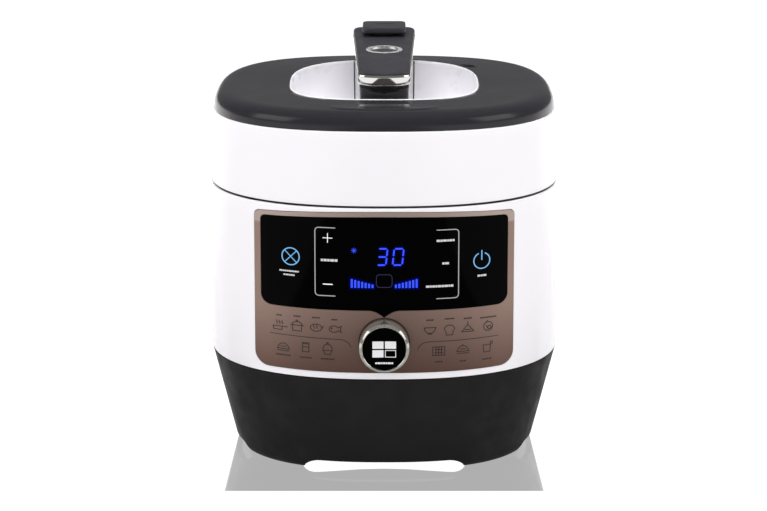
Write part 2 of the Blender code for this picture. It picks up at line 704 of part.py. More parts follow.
def handle_plan(inset=0.0, nose=0.0085, tail=0.007, steps=5):
    """Plan of the handle: tapered bar with a bowed nose and round rear corners."""
    front, back = HANDLE_FRONT + inset, HANDLE_BACK - inset
    points = []
    half = handle_width(front + nose) - inset
    for k in range(2 * steps + 1):
        t = math.radians(180 + 180 * k / (2 * steps))
        points.append((half * math.cos(t), front + nose * (1 - abs(math.sin(t)))))
    for k in range(1, 5):
        y = front + nose + (back - tail - front - nose) * k / 5
        points.append((handle_width(y) - inset, y))
    half = handle_width(back) - inset
    for sign in (1, -1):
        for k in range(steps + 1):
            t = math.radians((0 if sign > 0 else 90) + 90 * k / steps)
            points.append((sign * (half - tail) + tail * math.cos(t), back - tail + tail * math.sin(t)))
    for k in range(4, 0, -1):
        y = front + nose + (back - tail - front - nose) * k / 5
        points.append((-(handle_width(y) - inset), y))
    return points


def along(y, front_value, back_value):
    k = (y - HANDLE_FRONT) / (HANDLE_BACK - HANDLE_FRONT)
    return front_value + (back_value - front_value) * min(1.0, max(0.0, k))


def band_low(y):
    return along(y, BAND_FRONT_LOW, BAND_BACK_LOW)


def band_high(y):
    return along(y, BAND_FRONT_HIGH, BAND_BACK_HIGH)


def cover_top(y):
    """Height of the handle's top: a rounded fall at the front, then a gentle climb to the back."""
    level = along(y, HANDLE_TOP_FRONT - 0.0005, HANDLE_TOP_BACK)
    k = min(1.0, max(0.0, (y - HANDLE_FRONT) / HANDLE_NOSE))
    low = BAND_FRONT_HIGH + 0.0008
    return low + (level - low) * math.sqrt(1 - (1 - k) ** 2)


def handle_band():
    """Chrome belt around the handle, open in the middle."""
    outer, inner = handle_plan(), handle_plan(0.0018)
    rings = [
        [(x, y, band_low(y)) for x, y in outer], [(x, y, band_high(y)) for x, y in outer],
        [(x, y, band_high(y)) for x, y in inner], [(x, y, band_low(y)) for x, y in inner],
    ]
    loft("handle_band", [[Vector(p) for p in ring] for ring in rings], chrome(), closed=True)


def handle_cover():
    """Soft-touch top of the handle, seated on the chrome belt."""
    rings = []
    for inset, share in ((0.0004, 0.0), (0.0004, 0.55), (0.0014, 0.86), (0.0040, 1.0)):
        ring = []
        for x, y in handle_plan(inset):
            low = band_high(y) + GAP
            ring.append(Vector((x, y, low + (cover_top(y) - low) * share)))
        rings.append(ring)
    made = loft("handle_cover", rings + crown_rings(), soft_black())
    ring_tool = turned("ring_seat", [(1.0, 0.30), (1.0, 0.40)], chrome(), 28)
    ring_tool.data.transform(Matrix.Diagonal((RING_A + GAP, RING_B + GAP, 1.0, 1.0)))
    ring_tool.location = (0.0, BUTTON_Y, 0.0)
    boolean(made, ring_tool)
    bore(made, 0.0118, 0.30, 0.40, 0.0, (VALVE_FRONT + VALVE_BACK) / 2, 24)
    return made


def crown_rings():
    """Inner rings that follow the cover's top towards its middle line, so that the cap stays curved."""
    rings = []
    for inset in (0.0100, 0.0160):
        rings.append([Vector((x, y, cover_top(y) + 0.0003)) for x, y in handle_plan(inset)])
    return rings


def handle_base():
    """Lower half of the handle: a tray between the belt and two pillars that stand in the dish."""
    def section(inset, below):
        return [Vector((x, y, band_low(y) - below)) for x, y in handle_plan(inset)]

    rings = [
        section(0.0024, 0.0060), section(0.0012, 0.0045), section(0.0012, GAP), section(0.0021, GAP),
        [Vector((x, y, band_high(y) - 0.0010)) for x, y in handle_plan(0.0021)],
    ]
    made = loft("handle_base", rings, lid_charcoal())
    for name, half, front, back, heights in (
        ("front_pillar", (0.0202, 0.0208), -0.0728, (-0.0530, -0.0530), (0.2960, 0.3275)),
        ("rear_pillar", (0.0200, 0.0225), 0.0470, (0.0735, 0.0795), (0.2990, 0.3370)),
    ):
        sections = []
        for half_x, back_y, z in zip(half, back, heights):
            corners = [(-half_x, front), (half_x, front), (half_x, back_y), (-half_x, back_y)]
            sections.append([Vector((x, y, z)) for x, y in round_corners(corners, 0.004)])
        boolean(made, loft(name, sections, lid_charcoal()), "UNION")
    bore(made, STEAM_R_OUT + 0.0004, 0.28, 0.40, 0.0, STEAM_Y, 20)
    bore(made, 0.0034, 0.3325, 0.40, 0.0, BUTTON_Y, 16)
    seat = (VALVE_FRONT + VALVE_BACK) / 2
    bore(made, 0.0118, 0.3440, 0.40, 0.0, seat, 24)
    well = turned("button_well", [(1.0, 0.3380), (1.0, 0.40)], chrome(), 28)
    well.data.transform(Matrix.Diagonal((RING_A + GAP, RING_B + GAP, 1.0, 1.0)))
    well.location = (0.0, BUTTON_Y, 0.0)
    boolean(made, well)
    return made


def round_corners(points, r, steps=3):
    """Rounds the corners of a rectangle given anticlockwise from its front left."""
    rounded = []
    signs = [(1, 1), (-1, 1), (-1, -1), (1, -1)]
    for (x, y), (sx, sy), start in zip(points, signs, (180, 270, 0, 90)):
        for k in range(steps + 1):
            t = math.radians(start + 90 * k / steps)
            rounded.append((x + sx * r + r * math.cos(t), y + sy * r + r * math.sin(t)))
    return rounded


def tilt_top(made, above=0.3440):
    """Tilts what stands above a height, so that it follows the climb of the handle's top."""
    for vertex in made.data.vertices:
        if vertex.co.z > above:
            vertex.co.z += BUTTON_TILT * vertex.co.y


def handle_button():
    """Oval push button in a chrome surround, on a short stem that slides in the handle."""
    ring = turned("button_ring", [(1.0, 0.3383), (1.0, 0.3499), (RING_BORE, 0.3492), (RING_BORE, 0.3383)],
        chrome(), 28, closed=True)
    ring.data.transform(Matrix.Diagonal((RING_A, RING_B, 1.0, 1.0)))
    tilt_top(ring)
    ring.location = (0.0, BUTTON_Y, 0.0)
    a, b = RING_A * RING_BORE - 0.0004, RING_B * RING_BORE - 0.0004
    sections = [
        (0.0028, 0.0028, 0.3360), (0.0028, 0.0028, 0.3426), (a, b, 0.3426), (a, b, 0.3478),
        (a * 0.8, b * 0.75, 0.3484),
    ]
    rings = [
        [Vector((x * math.cos(math.tau * i / 28), y * math.sin(math.tau * i / 28),
            z)) for i in range(28)]
        for x, y, z in sections
    ]
    made = loft("handle_button", rings, grey_plastic())
    tilt_top(made)
    made.location = (0.0, BUTTON_Y, 0.0)


def pressure_valve():
    """Steam release block that turns on the rear of the handle, with a shallow grip dent on top."""
    middle = (VALVE_FRONT + VALVE_BACK) / 2
    half_y = (VALVE_BACK - VALVE_FRONT) / 2
    base = [(-VALVE_HALF, -half_y), (VALVE_HALF, -half_y), (VALVE_HALF, half_y), (-VALVE_HALF, half_y)]
    plan = round_corners(base, 0.0050, 4)
    rings = [[Vector((x * k, y * k, z)) for x, y in plan]
             for k, z in ((0.965, VALVE_LOW), (1.0, VALVE_LOW + 0.0010), (1.0, VALVE_HIGH - 0.0018),
                     (0.955, VALVE_HIGH))]
    made = loft("pressure_valve", rings, base_black())
    made.location = (0.0, middle, 0.0)
    boolean(made, turned("valve_stem", [(0.0100, 0.3500), (0.0100, VALVE_LOW + 0.001)], base_black(),
        20, 0.0, middle), "UNION")
    dent = turned("grip_dent", [(0.70, VALVE_HIGH - 0.0012), (1.0, VALVE_HIGH + 0.004)], base_black(),
        24)
    dent.data.transform(Matrix.Diagonal((0.0095, 0.0075, 1.0, 1.0)))
    dent.location = (0.0, middle + 0.002, 0.0)
    boolean(made, dent)


def badge_plate():
    """Blank oval plate on the front slope of the lid."""
    half, depth = 0.0460, 0.0115
    tool = turned("badge_outline", [(1.0, 0.28), (1.0, 0.34)], lid_charcoal(), 32)
    tool.data.transform(Matrix.Diagonal((half, depth, 1.0, 1.0)))
    tool.location = (0.0, BADGE_Y, 0.0)
    keys = (0.10, 0.16, 0.22, 0.30, 0.40, 0.50, 0.60, 0.72, 0.85)
    upper = [dome_ring(k, -0.0011) for k in keys]
    lower = [dome_ring(k, -GAP) for k in reversed(keys)]
    plate = loft("badge_plate", upper + lower, lid_charcoal(), closed=True)
    boolean(plate, tool, "INTERSECT")


def lid_works():
    """Parts under the lid: liner, pressure plate, seal, bayonet ring, steam pipe and float."""
    rings = [superellipse(0.1462, 0.1380, 2.34, z, rear=REAR_SQUARE) for z in (LINER_LOW, LINER_HIGH)]
    liner = loft("lid_liner", rings, grey_plastic(), smooth=False)
    plate = turned("pressure_plate", [(PLATE_R - 0.002, PLATE_LOW), (PLATE_R, PLATE_LOW + 0.0006),
        (PLATE_R, PLATE_HIGH)], steel())
    for target in (liner, plate):
        bore(target, STEAM_R_OUT + 0.0004, 0.22, 0.26, 0.0, STEAM_Y, 20)
        bore(target, FLOAT_R + 0.0004, 0.22, 0.26, FLOAT_X, FLOAT_Y, 12)
    bore(liner, 0.0054, 0.22, 0.26, 0.0, 0.020, 16)
    bore(plate, 0.0044, 0.22, 0.26, 0.0, 0.020, 16)
    post = [(0.0080, 0.2288), (0.0080, PLATE_LOW - GAP), (0.0040, PLATE_LOW - GAP),
        (0.0040, PLATE_HIGH + GAP),
            (0.0100, PLATE_HIGH + GAP), (0.0100, LINER_LOW - GAP), (0.0050, LINER_LOW - GAP),
            (0.0050, 0.2440)]
    turned("plate_post", post, steel(), 16, 0.0, 0.020)
    seal = [(0.1090, 0.2304), (0.1160, 0.2304), (0.1160, 0.2322), (0.1128, 0.2330), (0.1128, 0.2350),
        (0.1090, 0.2350)]
    turned("sealing_ring", seal, silicone(), closed=True)
    ring = [(RING_WALL_IN, TOOTH_LOW), (TOOTH_R, TOOTH_LOW), (TOOTH_R, TOOTH_HIGH),
        (RING_WALL_OUT, TOOTH_HIGH),
            (RING_WALL_OUT, 0.2378), (0.1072, 0.2378), (0.1072, 0.2360), (RING_WALL_IN, 0.2360)]
    made = turned("locking_ring", ring, steel(), 48, closed=True)
    outline = stepped_ring_points(0.1400, RING_WALL_OUT, TOOTH_SHARE)
    keep = prism("tooth_shape", outline, 0.2200, 0.2500, steel())
    boolean(made, keep, "INTERSECT")
    for index, angle in enumerate((90, 210, 330)):
        x, y = GUIDE_RADIUS * math.cos(math.radians(angle)), GUIDE_RADIUS * math.sin(math.radians(angle))
        profile = [(0.0060, 0.2340), (0.0060, 0.2354), (0.0030, 0.2354), (0.0030, LINER_LOW - GAP)]
        turned(f"ring_guide_{index + 1}", profile, steel(), 12, x, y)
    tube("steam_pipe", STEAM_R_OUT, STEAM_R_IN, 0.2300, 0.3430, steel(), 20, 0.0, STEAM_Y)
    guard = [(0.0110, 0.2240), (0.0110, PLATE_LOW - GAP), (0.0095, PLATE_LOW - GAP), (0.0095, 0.2252),
        (0.0040, 0.2252), (0.0040, 0.2240)]
    turned("steam_guard", guard, steel(), 20, 0.0, STEAM_Y, closed=True)
    bush = [(0.0034, 0.3020), (0.0075, 0.3020), (0.0075, 0.3220), (0.0060, 0.3220), (0.0060, 0.3140),
        (0.0034, 0.3140)]
    turned("float_bushing", bush, base_black(), 20, FLOAT_X, FLOAT_Y, closed=True)
    pin = [(0.0040, 0.2262), (0.0040, 0.2278), (FLOAT_R, 0.2278), (FLOAT_R, 0.3143), (0.0054, 0.3143),
        (0.0054, 0.3186)]
    turned("float_valve", pin, steel(), 16, FLOAT_X, FLOAT_Y)


def build():
    base_housing()
    feet()
    bottom_cover()
    body_shell()
    front_panel()
    dial()
    electronics()
    power_inlet()
    pot_well()
    inner_pot()
    heating_plate()
    sensor()
    locking_flange()
    top_collar()
    hinge()
    condensate()
    lid_shell()
    lid_top_panel()
    recess_bowl()
    handle_band()
    handle_cover()
    handle_base()
    handle_button()
    pressure_valve()
    badge_plate()
    lid_works()


for leftover in list(bpy.data.objects):
    bpy.data.objects.remove(leftover, do_unlink=True)
build()
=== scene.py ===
"""Looks of the electric pressure cooker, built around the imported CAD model. Metres, front towards -Y."""
import math

import bmesh
import bpy
from mathutils import Matrix, Vector


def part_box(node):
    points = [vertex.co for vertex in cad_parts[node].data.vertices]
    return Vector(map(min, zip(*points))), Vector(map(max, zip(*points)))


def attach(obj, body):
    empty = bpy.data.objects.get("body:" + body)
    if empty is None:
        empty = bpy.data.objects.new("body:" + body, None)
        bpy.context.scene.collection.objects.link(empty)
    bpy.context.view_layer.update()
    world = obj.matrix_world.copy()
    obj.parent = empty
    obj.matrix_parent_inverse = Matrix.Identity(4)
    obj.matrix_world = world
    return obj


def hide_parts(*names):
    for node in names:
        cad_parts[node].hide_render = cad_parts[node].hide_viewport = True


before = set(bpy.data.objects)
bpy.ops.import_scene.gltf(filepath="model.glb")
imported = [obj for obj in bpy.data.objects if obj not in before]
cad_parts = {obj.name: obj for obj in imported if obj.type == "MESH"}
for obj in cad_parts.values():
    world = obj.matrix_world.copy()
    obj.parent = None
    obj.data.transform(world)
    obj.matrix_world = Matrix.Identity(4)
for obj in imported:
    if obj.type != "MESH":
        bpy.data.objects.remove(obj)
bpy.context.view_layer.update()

# ------------------------------------------------------------------ sizes
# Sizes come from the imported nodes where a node's box gives them. The rest shape the outlines between.
LOW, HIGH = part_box("body_shell")
WHITE_A, DEPTH_RATIO = HIGH[0], HIGH[1] / HIGH[0]
Z_BORDER, Z_SEAM = LOW[2], HIGH[2]
SEAM_A = 0.1520
LID_TOP_A = 0.1491
KNEE_A, KNEE_Z, FOOT_A, FOOT_Z = 0.1325, 0.0095, 0.1240, 0.0012
LID_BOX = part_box("lid_shell")
LID_A, LID_Z = LID_BOX[1][0], LID_BOX[0][2]
PANEL_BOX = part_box("lid_top_panel")
PANEL_A = PANEL_BOX[1][0]
PANEL_Z, PANEL_N = 0.3015, 2.46
WALL = 0.0025
FINE = 192
FAR = 0.2
ARCH_HALF, ARCH_HIGH, ARCH_CURVE = 0.0577, 0.0095, 0.0150

DISH_A, DISH_B, DISH_N = 0.0825, 0.0850, 2.87
DISH_FLOOR_Z, DISH_FLOOR_SCALE, SEAM_REAR_X = 0.2860, 0.74, 0.0260
RIM_SIDE_Z, RIM_TILT, RIM_SADDLE = 0.3190, 0.0035, 0.0025
SHOULDER, SHOULDER_RISE, SHOULDER_POWER = 0.35, 0.92, 3.0
REAR_SQUARE = 1.1

BAND_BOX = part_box("handle_band")
HANDLE_FRONT, HANDLE_BACK = BAND_BOX[0][1], BAND_BOX[1][1]
HANDLE_FRONT_W, HANDLE_BACK_W = 0.0221, 0.0281
HANDLE_NOSE, HANDLE_TAIL = 0.0085, 0.0070
BAND_FRONT, BAND_BACK = (0.3285, 0.3375), (0.3440, 0.3490)
BUTTON_TILT = 0.055
TOP_FRONT, TOP_BACK, TOP_ROLL = 0.3450, 0.3552, 0.0400
GAP = 0.0003

DIAL_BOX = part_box("dial_ring")
DIAL_R, DIAL_FRONT = DIAL_BOX[1][0], DIAL_BOX[0][1]
DIAL_Z = (DIAL_BOX[0][2] + DIAL_BOX[1][2]) / 2
DIAL_BACK = -0.1462
DIAL_BORE = 0.0184

PANEL_OUT, GLASS_OUT, INK = 0.0005, 0.0007, 0.00008
STEP = 0.0015
FLOOR_GLOW, FLOOR_MIRROR, CARD_GLOW = 0.42, 0.45, 1.40


# ------------------------------------------------------------------ materials
def new_material(name):
    mat = bpy.data.materials.new(name)
    mat.use_nodes = True
    tree = mat.node_tree
    return mat, tree, tree.nodes["Principled BSDF"]


def noise(tree, scale, detail=2.0, stretch=(1, 1, 1), roughness=0.5):
    """Noise in the object's own coordinates, stretched along an axis for brushed or drawn surfaces."""
    coords = tree.nodes.new("ShaderNodeTexCoord")
    mapping = tree.nodes.new("ShaderNodeMapping")
    mapping.inputs["Scale"].default_value = stretch
    tree.links.new(coords.outputs["Object"], mapping.inputs["Vector"])
    made = tree.nodes.new("ShaderNodeTexNoise")
    made.inputs["Scale"].default_value = scale
    made.inputs["Detail"].default_value = detail
    made.inputs["Roughness"].default_value = roughness
    tree.links.new(mapping.outputs["Vector"], made.inputs["Vector"])
    return made.outputs["Fac"]


def remap(tree, value, low, high, start=0.35, end=0.65):
    made = tree.nodes.new("ShaderNodeMapRange")
    for key, number in (("From Min", start), ("From Max", end), ("To Min", low), ("To Max", high)):
        made.inputs[key].default_value = number
    tree.links.new(value, made.inputs["Value"])
    return made.outputs["Result"]


def tint(tree, value, dark, light):
    made = tree.nodes.new("ShaderNodeMix")
    made.data_type = "RGBA"
    made.inputs[6].default_value = (*dark, 1)
    made.inputs[7].default_value = (*light, 1)
    tree.links.new(value, made.inputs[0])
    return made.outputs[2]


def bump(tree, shader, height, strength, distance):
    made = tree.nodes.new("ShaderNodeBump")
    made.inputs["Strength"].default_value = strength
    made.inputs["Distance"].default_value = distance
    tree.links.new(height, made.inputs["Height"])
    tree.links.new(made.outputs["Normal"], shader.inputs["Normal"])
    return made


def plastic(name, colour, rough, grain, grain_depth, spread=0.10, coat=0.0, level=0.5):
    """Moulded plastic: faint colour and roughness drift, and a fine grain in the surface."""
    mat, tree, shader = new_material(name)
    drift = noise(tree, 14.0, 3.0)
    dark = [c * (1 - spread) for c in colour]
    light = [min(1.0, c * (1 + spread)) for c in colour]
    tree.links.new(tint(tree, drift, dark, light), shader.inputs["Base Color"])
    tree.links.new(remap(tree, noise(tree, 55.0, 4.0), rough * 0.88, rough * 1.14),
        shader.inputs["Roughness"])
    bump(tree, shader, noise(tree, grain, 2.0), 0.35, grain_depth)
    shader.inputs["Coat Weight"].default_value = coat
    shader.inputs["Coat Roughness"].default_value = 0.04
    shader.inputs["Specular IOR Level"].default_value = level
    return mat


def metal(name, colour, rough, stretch=(1, 1, 1), scale=300.0, depth=0.00002, spread=0.06):
    """Metal with a drawn or polished surface: roughness and height follow one stretched noise."""
    mat, tree, shader = new_material(name)
    shader.inputs["Metallic"].default_value = 1.0
    lines = noise(tree, scale, 5.0, stretch, 0.65)
    dark = [c * (1 - spread) for c in colour]
    light = [min(1.0, c * (1 + spread)) for c in colour]
    tree.links.new(tint(tree, lines, dark, light), shader.inputs["Base Color"])
    tree.links.new(remap(tree, lines, rough * 0.7, rough * 1.35), shader.inputs["Roughness"])
    bump(tree, shader, lines, 0.3, depth)
    return mat


def turned_metal(name, colour, rough):
    """Lathe-turned or spun metal: fine rings about the vertical axis."""
    mat, tree, shader = new_material(name)
    shader.inputs["Metallic"].default_value = 1.0
    coords = tree.nodes.new("ShaderNodeTexCoord")
    split = tree.nodes.new("ShaderNodeSeparateXYZ")
    tree.links.new(coords.outputs["Object"], split.inputs[0])
    flat = tree.nodes.new("ShaderNodeCombineXYZ")
    tree.links.new(split.outputs["X"], flat.inputs["X"])
    tree.links.new(split.outputs["Y"], flat.inputs["Y"])
    length = tree.nodes.new("ShaderNodeVectorMath")
    length.operation = "LENGTH"
    tree.links.new(flat.outputs[0], length.inputs[0])
    ring = tree.nodes.new("ShaderNodeCombineXYZ")
    tree.links.new(length.outputs["Value"], ring.inputs["X"])
    tree.links.new(split.outputs["Z"], ring.inputs["Y"])
    rings = tree.nodes.new("ShaderNodeTexNoise")
    rings.inputs["Scale"].default_value = 900.0
    rings.inputs["Detail"].default_value = 3.0
    tree.links.new(ring.outputs[0], rings.inputs["Vector"])
    fac = rings.outputs["Fac"]
    tree.links.new(tint(tree, fac, [c * 0.9 for c in colour], colour), shader.inputs["Base Color"])
    tree.links.new(remap(tree, fac, rough * 0.75, rough * 1.3), shader.inputs["Roughness"])
    bump(tree, shader, fac, 0.25, 0.00003)
    return mat


def satin_metal(name, colour, rough, metallic=0.55):
    """Part-metallic satin plating, which keeps some diffuse light."""
    mat, tree, shader = new_material(name)
    lines = noise(tree, 260.0, 4.0)
    tree.links.new(tint(tree, lines, [c * 0.92 for c in colour], colour), shader.inputs["Base Color"])
    tree.links.new(remap(tree, lines, rough * 0.8, rough * 1.2), shader.inputs["Roughness"])
    shader.inputs["Metallic"].default_value = metallic
    return mat


def glow(name, colour, strength, base=(0.01, 0.01, 0.02)):
    mat, tree, shader = new_material(name)
    drift = noise(tree, 900.0, 1.0)
    tree.links.new(tint(tree, drift, [c * 0.92 for c in colour], colour),
        shader.inputs["Emission Color"])
    shader.inputs["Base Color"].default_value = (*base, 1)
    shader.inputs["Emission Strength"].default_value = strength
    shader.inputs["Roughness"].default_value = 0.3
    shader.inputs["Specular IOR Level"].default_value = 0.05
    return mat


def ink(name, colour, rough=0.5):
    mat, tree, shader = new_material(name)
    drift = noise(tree, 1200.0, 2.0)
    tree.links.new(tint(tree, drift, [c * 0.8 for c in colour], colour), shader.inputs["Base Color"])
    shader.inputs["Roughness"].default_value = rough
    return mat


def bronze_material():
    """Bronze-brown flaked lacquer, with painted shade that makes it darker and redder low down, and a
    painted highlight as a pale strip along the top.
    """
    mat, tree, shader = new_material("bronze_lacquer")
    coords = tree.nodes.new("ShaderNodeTexCoord")
    split = tree.nodes.new("ShaderNodeSeparateXYZ")
    tree.links.new(coords.outputs["Object"], split.inputs[0])
    # Painted shade: the colour darkens and reddens towards the bottom of the fascia.
    painted_shade_fade = remap(tree, split.outputs["Z"], 0.0, 1.0, 0.095, 0.150)
    lower = tint(tree, painted_shade_fade, (0.124, 0.066, 0.049), (0.285, 0.188, 0.152))
    # Painted highlight: a pale strip of colour along the fascia's top edge.
    edge = remap(tree, split.outputs["Z"], 0.0, 1.0, 0.2180, 0.2200)
    strip = tree.nodes.new("ShaderNodeMix")
    strip.data_type = "RGBA"
    tree.links.new(edge, strip.inputs[0])
    tree.links.new(lower, strip.inputs[6])
    strip.inputs[7].default_value = (0.42, 0.33, 0.285, 1)
    base = strip.outputs[2]
    flake = noise(tree, 3200.0, 1.0)
    flaked = tree.nodes.new("ShaderNodeMix")
    flaked.data_type = "RGBA"
    flaked.blend_type = "SOFT_LIGHT"
    flaked.inputs[0].default_value = 0.35
    tree.links.new(base, flaked.inputs[6])
    tree.links.new(flake, flaked.inputs[7])
    tree.links.new(flaked.outputs[2], shader.inputs["Base Color"])
    shader.inputs["Metallic"].default_value = 0.45
    tree.links.new(remap(tree, flake, 0.34, 0.44), shader.inputs["Roughness"])
    bump(tree, shader, flake, 0.12, 0.00002)
    return mat


def clear_plastic(name, colour, rough=0.08):
    mat, tree, shader = new_material(name)
    drift = noise(tree, 20.0, 2.0)
    tree.links.new(tint(tree, drift, [c * 0.94 for c in colour], colour), shader.inputs["Base Color"])
    shader.inputs["Transmission Weight"].default_value = 0.75
    shader.inputs["IOR"].default_value = 1.45
    tree.links.new(remap(tree, noise(tree, 60.0, 2.0), rough * 0.8, rough * 1.3),
        shader.inputs["Roughness"])
    return mat


def coating_material():
    """Dark non-stick coat with pale specks."""
    mat, tree, shader = new_material("nonstick_speckled")
    coords = tree.nodes.new("ShaderNodeTexCoord")
    cells = tree.nodes.new("ShaderNodeTexVoronoi")
    cells.inputs["Scale"].default_value = 420.0
    tree.links.new(coords.outputs["Object"], cells.inputs["Vector"])
    specks = remap(tree, cells.outputs["Distance"], 1.0, 0.0, 0.10, 0.17)
    tree.links.new(tint(tree, specks, (0.022, 0.022, 0.024), (0.16, 0.16, 0.16)),
        shader.inputs["Base Color"])
    tree.links.new(remap(tree, noise(tree, 80.0, 3.0), 0.34, 0.48), shader.inputs["Roughness"])
    bump(tree, shader, noise(tree, 900.0, 2.0), 0.3, 0.00004)
    return mat


M = {"white": plastic("white_gloss", (0.88, 0.858, 0.885), 0.22, 500.0, 0.000006, 0.012, coat=0.1),
    "dish": plastic("white_dish", (0.945, 0.93, 0.965), 0.30, 700.0, 0.00001, 0.012, coat=0.1),
    "base": plastic("base_charcoal", (0.0090, 0.0082, 0.0084), 0.55, 2300.0, 0.00005, 0.10, level=0.16),
    "lid": plastic("lid_charcoal_gloss", (0.0200, 0.0190, 0.0230), 0.20, 420.0, 0.000006, 0.05,
        level=0.30), "badge": plastic("badge_gloss", (0.0280, 0.0270, 0.0310), 0.16, 140.0, 0.00002,
        0.22, level=0.40), "handle": plastic("handle_gloss_black", (0.0100, 0.0095, 0.0100), 0.14,
        420.0, 0.000005, 0.05, level=0.45), "soft": plastic("soft_touch_grey", (0.0335, 0.0335, 0.0385),
        0.46, 1900.0, 0.00003, 0.06, level=0.50), "valve": plastic("valve_charcoal",
        (0.0390, 0.0390, 0.0440), 0.42, 1500.0, 0.00003, 0.08, level=0.30),
    "grey": plastic("grey_moulded", (0.16, 0.16, 0.17), 0.45, 1400.0, 0.00003, 0.06),
    "button": plastic("button_grey", (0.040, 0.040, 0.044), 0.34, 1200.0, 0.00002, 0.06),
    "satin": satin_metal("satin_chrome", (0.72, 0.72, 0.72), 0.30),
    "chrome": metal("chrome_plate", (0.80, 0.785, 0.76), 0.07, scale=60.0, depth=0.000003, spread=0.02),
    "dial": satin_metal("dial_chrome", (0.62, 0.61, 0.54), 0.13, 0.86),
    "steel": turned_metal("spun_steel", (0.62, 0.62, 0.61), 0.26),
    "bolt": metal("bolt_steel", (0.55, 0.55, 0.55), 0.32, scale=700.0),
    "brass": metal("inlet_brass", (0.72, 0.56, 0.27), 0.22, (1, 1, 12), 500.0),
    "cast": metal("cast_aluminium", (0.56, 0.56, 0.57), 0.42, scale=900.0, depth=0.00006),
    "bronze": bronze_material(), "glass": plastic("black_glass", (0.0010, 0.0010, 0.0012), 0.06, 300.0,
        0.000002, 0.05, level=0.02), "rubber": plastic("foot_rubber", (0.012, 0.012, 0.012), 0.85,
        1500.0, 0.00008, 0.15), "silicone": plastic("seal_silicone", (0.70, 0.70, 0.67), 0.40, 800.0,
        0.00003, 0.04), "coating": coating_material(), "smoke": clear_plastic("smoke_clear",
        (0.55, 0.57, 0.60)), "blue": glow("display_blue", (0.030, 0.075, 1.0), 1.35),
    "halo": glow("display_halo", (0.0, 0.0, 0.060), 0.9, (0.0, 0.0, 0.004)),
    "sky": glow("touch_key_blue", (0.22, 0.56, 0.95), 0.95),
    # Printed marks on the glass: their print colour plus a painted glow in the emission.
    "mark": glow("panel_print_white_painted_glow", (0.80, 0.80, 0.82), 0.75, (0.5, 0.5, 0.5)),
    "text": glow("panel_print_pale_painted_glow", (0.50, 0.50, 0.52), 0.55, (0.4, 0.4, 0.4)),
    "line": glow("panel_print_grey_painted_glow", (0.30, 0.30, 0.32), 0.55, (0.3, 0.3, 0.3)),
    # Brown ink for the fascia print, also the colour of the painted shadow ring round the dial.
    "umber": ink("fascia_print_and_painted_shadow_brown", (0.030, 0.015, 0.012)),
    "paint": ink("dial_print_white", (0.86, 0.86, 0.86), 0.4),
    "dim": glow("display_dim", (0.035, 0.035, 0.11), 0.8),
    "shadow": ink("seam_black", (0.004, 0.004, 0.005), 0.8),
    "board": plastic("circuit_green", (0.02, 0.14, 0.06), 0.45, 1200.0, 0.00003, 0.12),}


# ------------------------------------------------------------------ mesh helpers
def finish(name, mesh, mat, body, replaces=(), sharp=35.0, merge=True):
    if merge:
        bmesh.ops.remove_doubles(mesh, verts=mesh.verts, dist=1e-6)
    bmesh.ops.recalc_face_normals(mesh, faces=mesh.faces)
    data = bpy.data.meshes.new(name)
    mesh.to_mesh(data)
    mesh.free()
    data.shade_smooth()
    data.set_sharp_from_angle(angle=math.radians(sharp))
    data.materials.append(M[mat])
    made = bpy.data.objects.new(name, data)
    bpy.context.scene.collection.objects.link(made)
    if body:
        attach(made, body)
        if replaces:
            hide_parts(*replaces)
    return made


def add_rings(mesh, rings, closed=False, caps=True):
    loops = [[mesh.verts.new(p) for p in ring] for ring in rings]
    pairs = list(zip(loops, loops[1:]))
    if closed:
        pairs.append((loops[-1], loops[0]))
    for low, high in pairs:
        count = len(low)
        for i in range(count):
            j = (i + 1) % count
            mesh.faces.new((low[i], low[j], high[j], high[i]))
    if caps and not closed:
        mesh.faces.new(list(reversed(loops[0])))
        mesh.faces.new(loops[-1])
    return loops


def loft(name, rings, mat, body, replaces=(), closed=False, sharp=35.0):
    mesh = bmesh.new()
    add_rings(mesh, rings, closed)
    return finish(name, mesh, mat, body, replaces, sharp)


def fillet(points, radii, steps=5, closed=True):
    """Rounds the corners of a 2-D profile; radii holds one radius per corner."""
    out = []
    count = len(points)
    for i, (p, r) in enumerate(zip(points, radii)):
        p = Vector(p)
        if r <= 0 or (not closed and i in (0, count - 1)):
            out.append(tuple(p))
            continue
        a, b = Vector(points[i - 1]) - p, Vector(points[(i + 1) % count]) - p
        half = a.angle(b) / 2
        if half > math.radians(88):
            out.append(tuple(p))
            continue
        reach = min(r / math.tan(half), a.length * 0.49, b.length * 0.49)
        r = reach * math.tan(half)
        a.normalize()
        b.normalize()
        centre = p + (a + b).normalized() * (r / math.sin(half))
        start, end = p + a * reach - centre, p + b * reach - centre
        turn = start.angle_signed(end)
        for k in range(steps + 1):
            angle = turn * k / steps
            c, s = math.cos(angle), math.sin(angle)
            # angle_signed is clockwise-positive
            out.append((centre.x + c * start.x + s * start.y, centre.y - s * start.x + c * start.y))
    return out


def superellipse(a, b, n, z, sides=FINE, rear=0.0):
    """Ring of a rounded square; rear squares its back corners."""
    ring = []
    for i in range(sides):
        t = math.tau * i / sides
        c, s = math.cos(t), math.sin(t)
        power = n + rear * math.sqrt(max(0.0, s))
        r = (abs(c / a) ** power + abs(s / b) ** power) ** (-1 / power)
        ring.append(Vector((r * c, r * s, z(t) if callable(z) else z)))
    return ring


def circle(r, z, sides=96, x=0.0, y=0.0):
    return [Vector((x + r * math.cos(math.tau * i / sides), y + r * math.sin(math.tau * i / sides), z))
        for i in range(sides)]


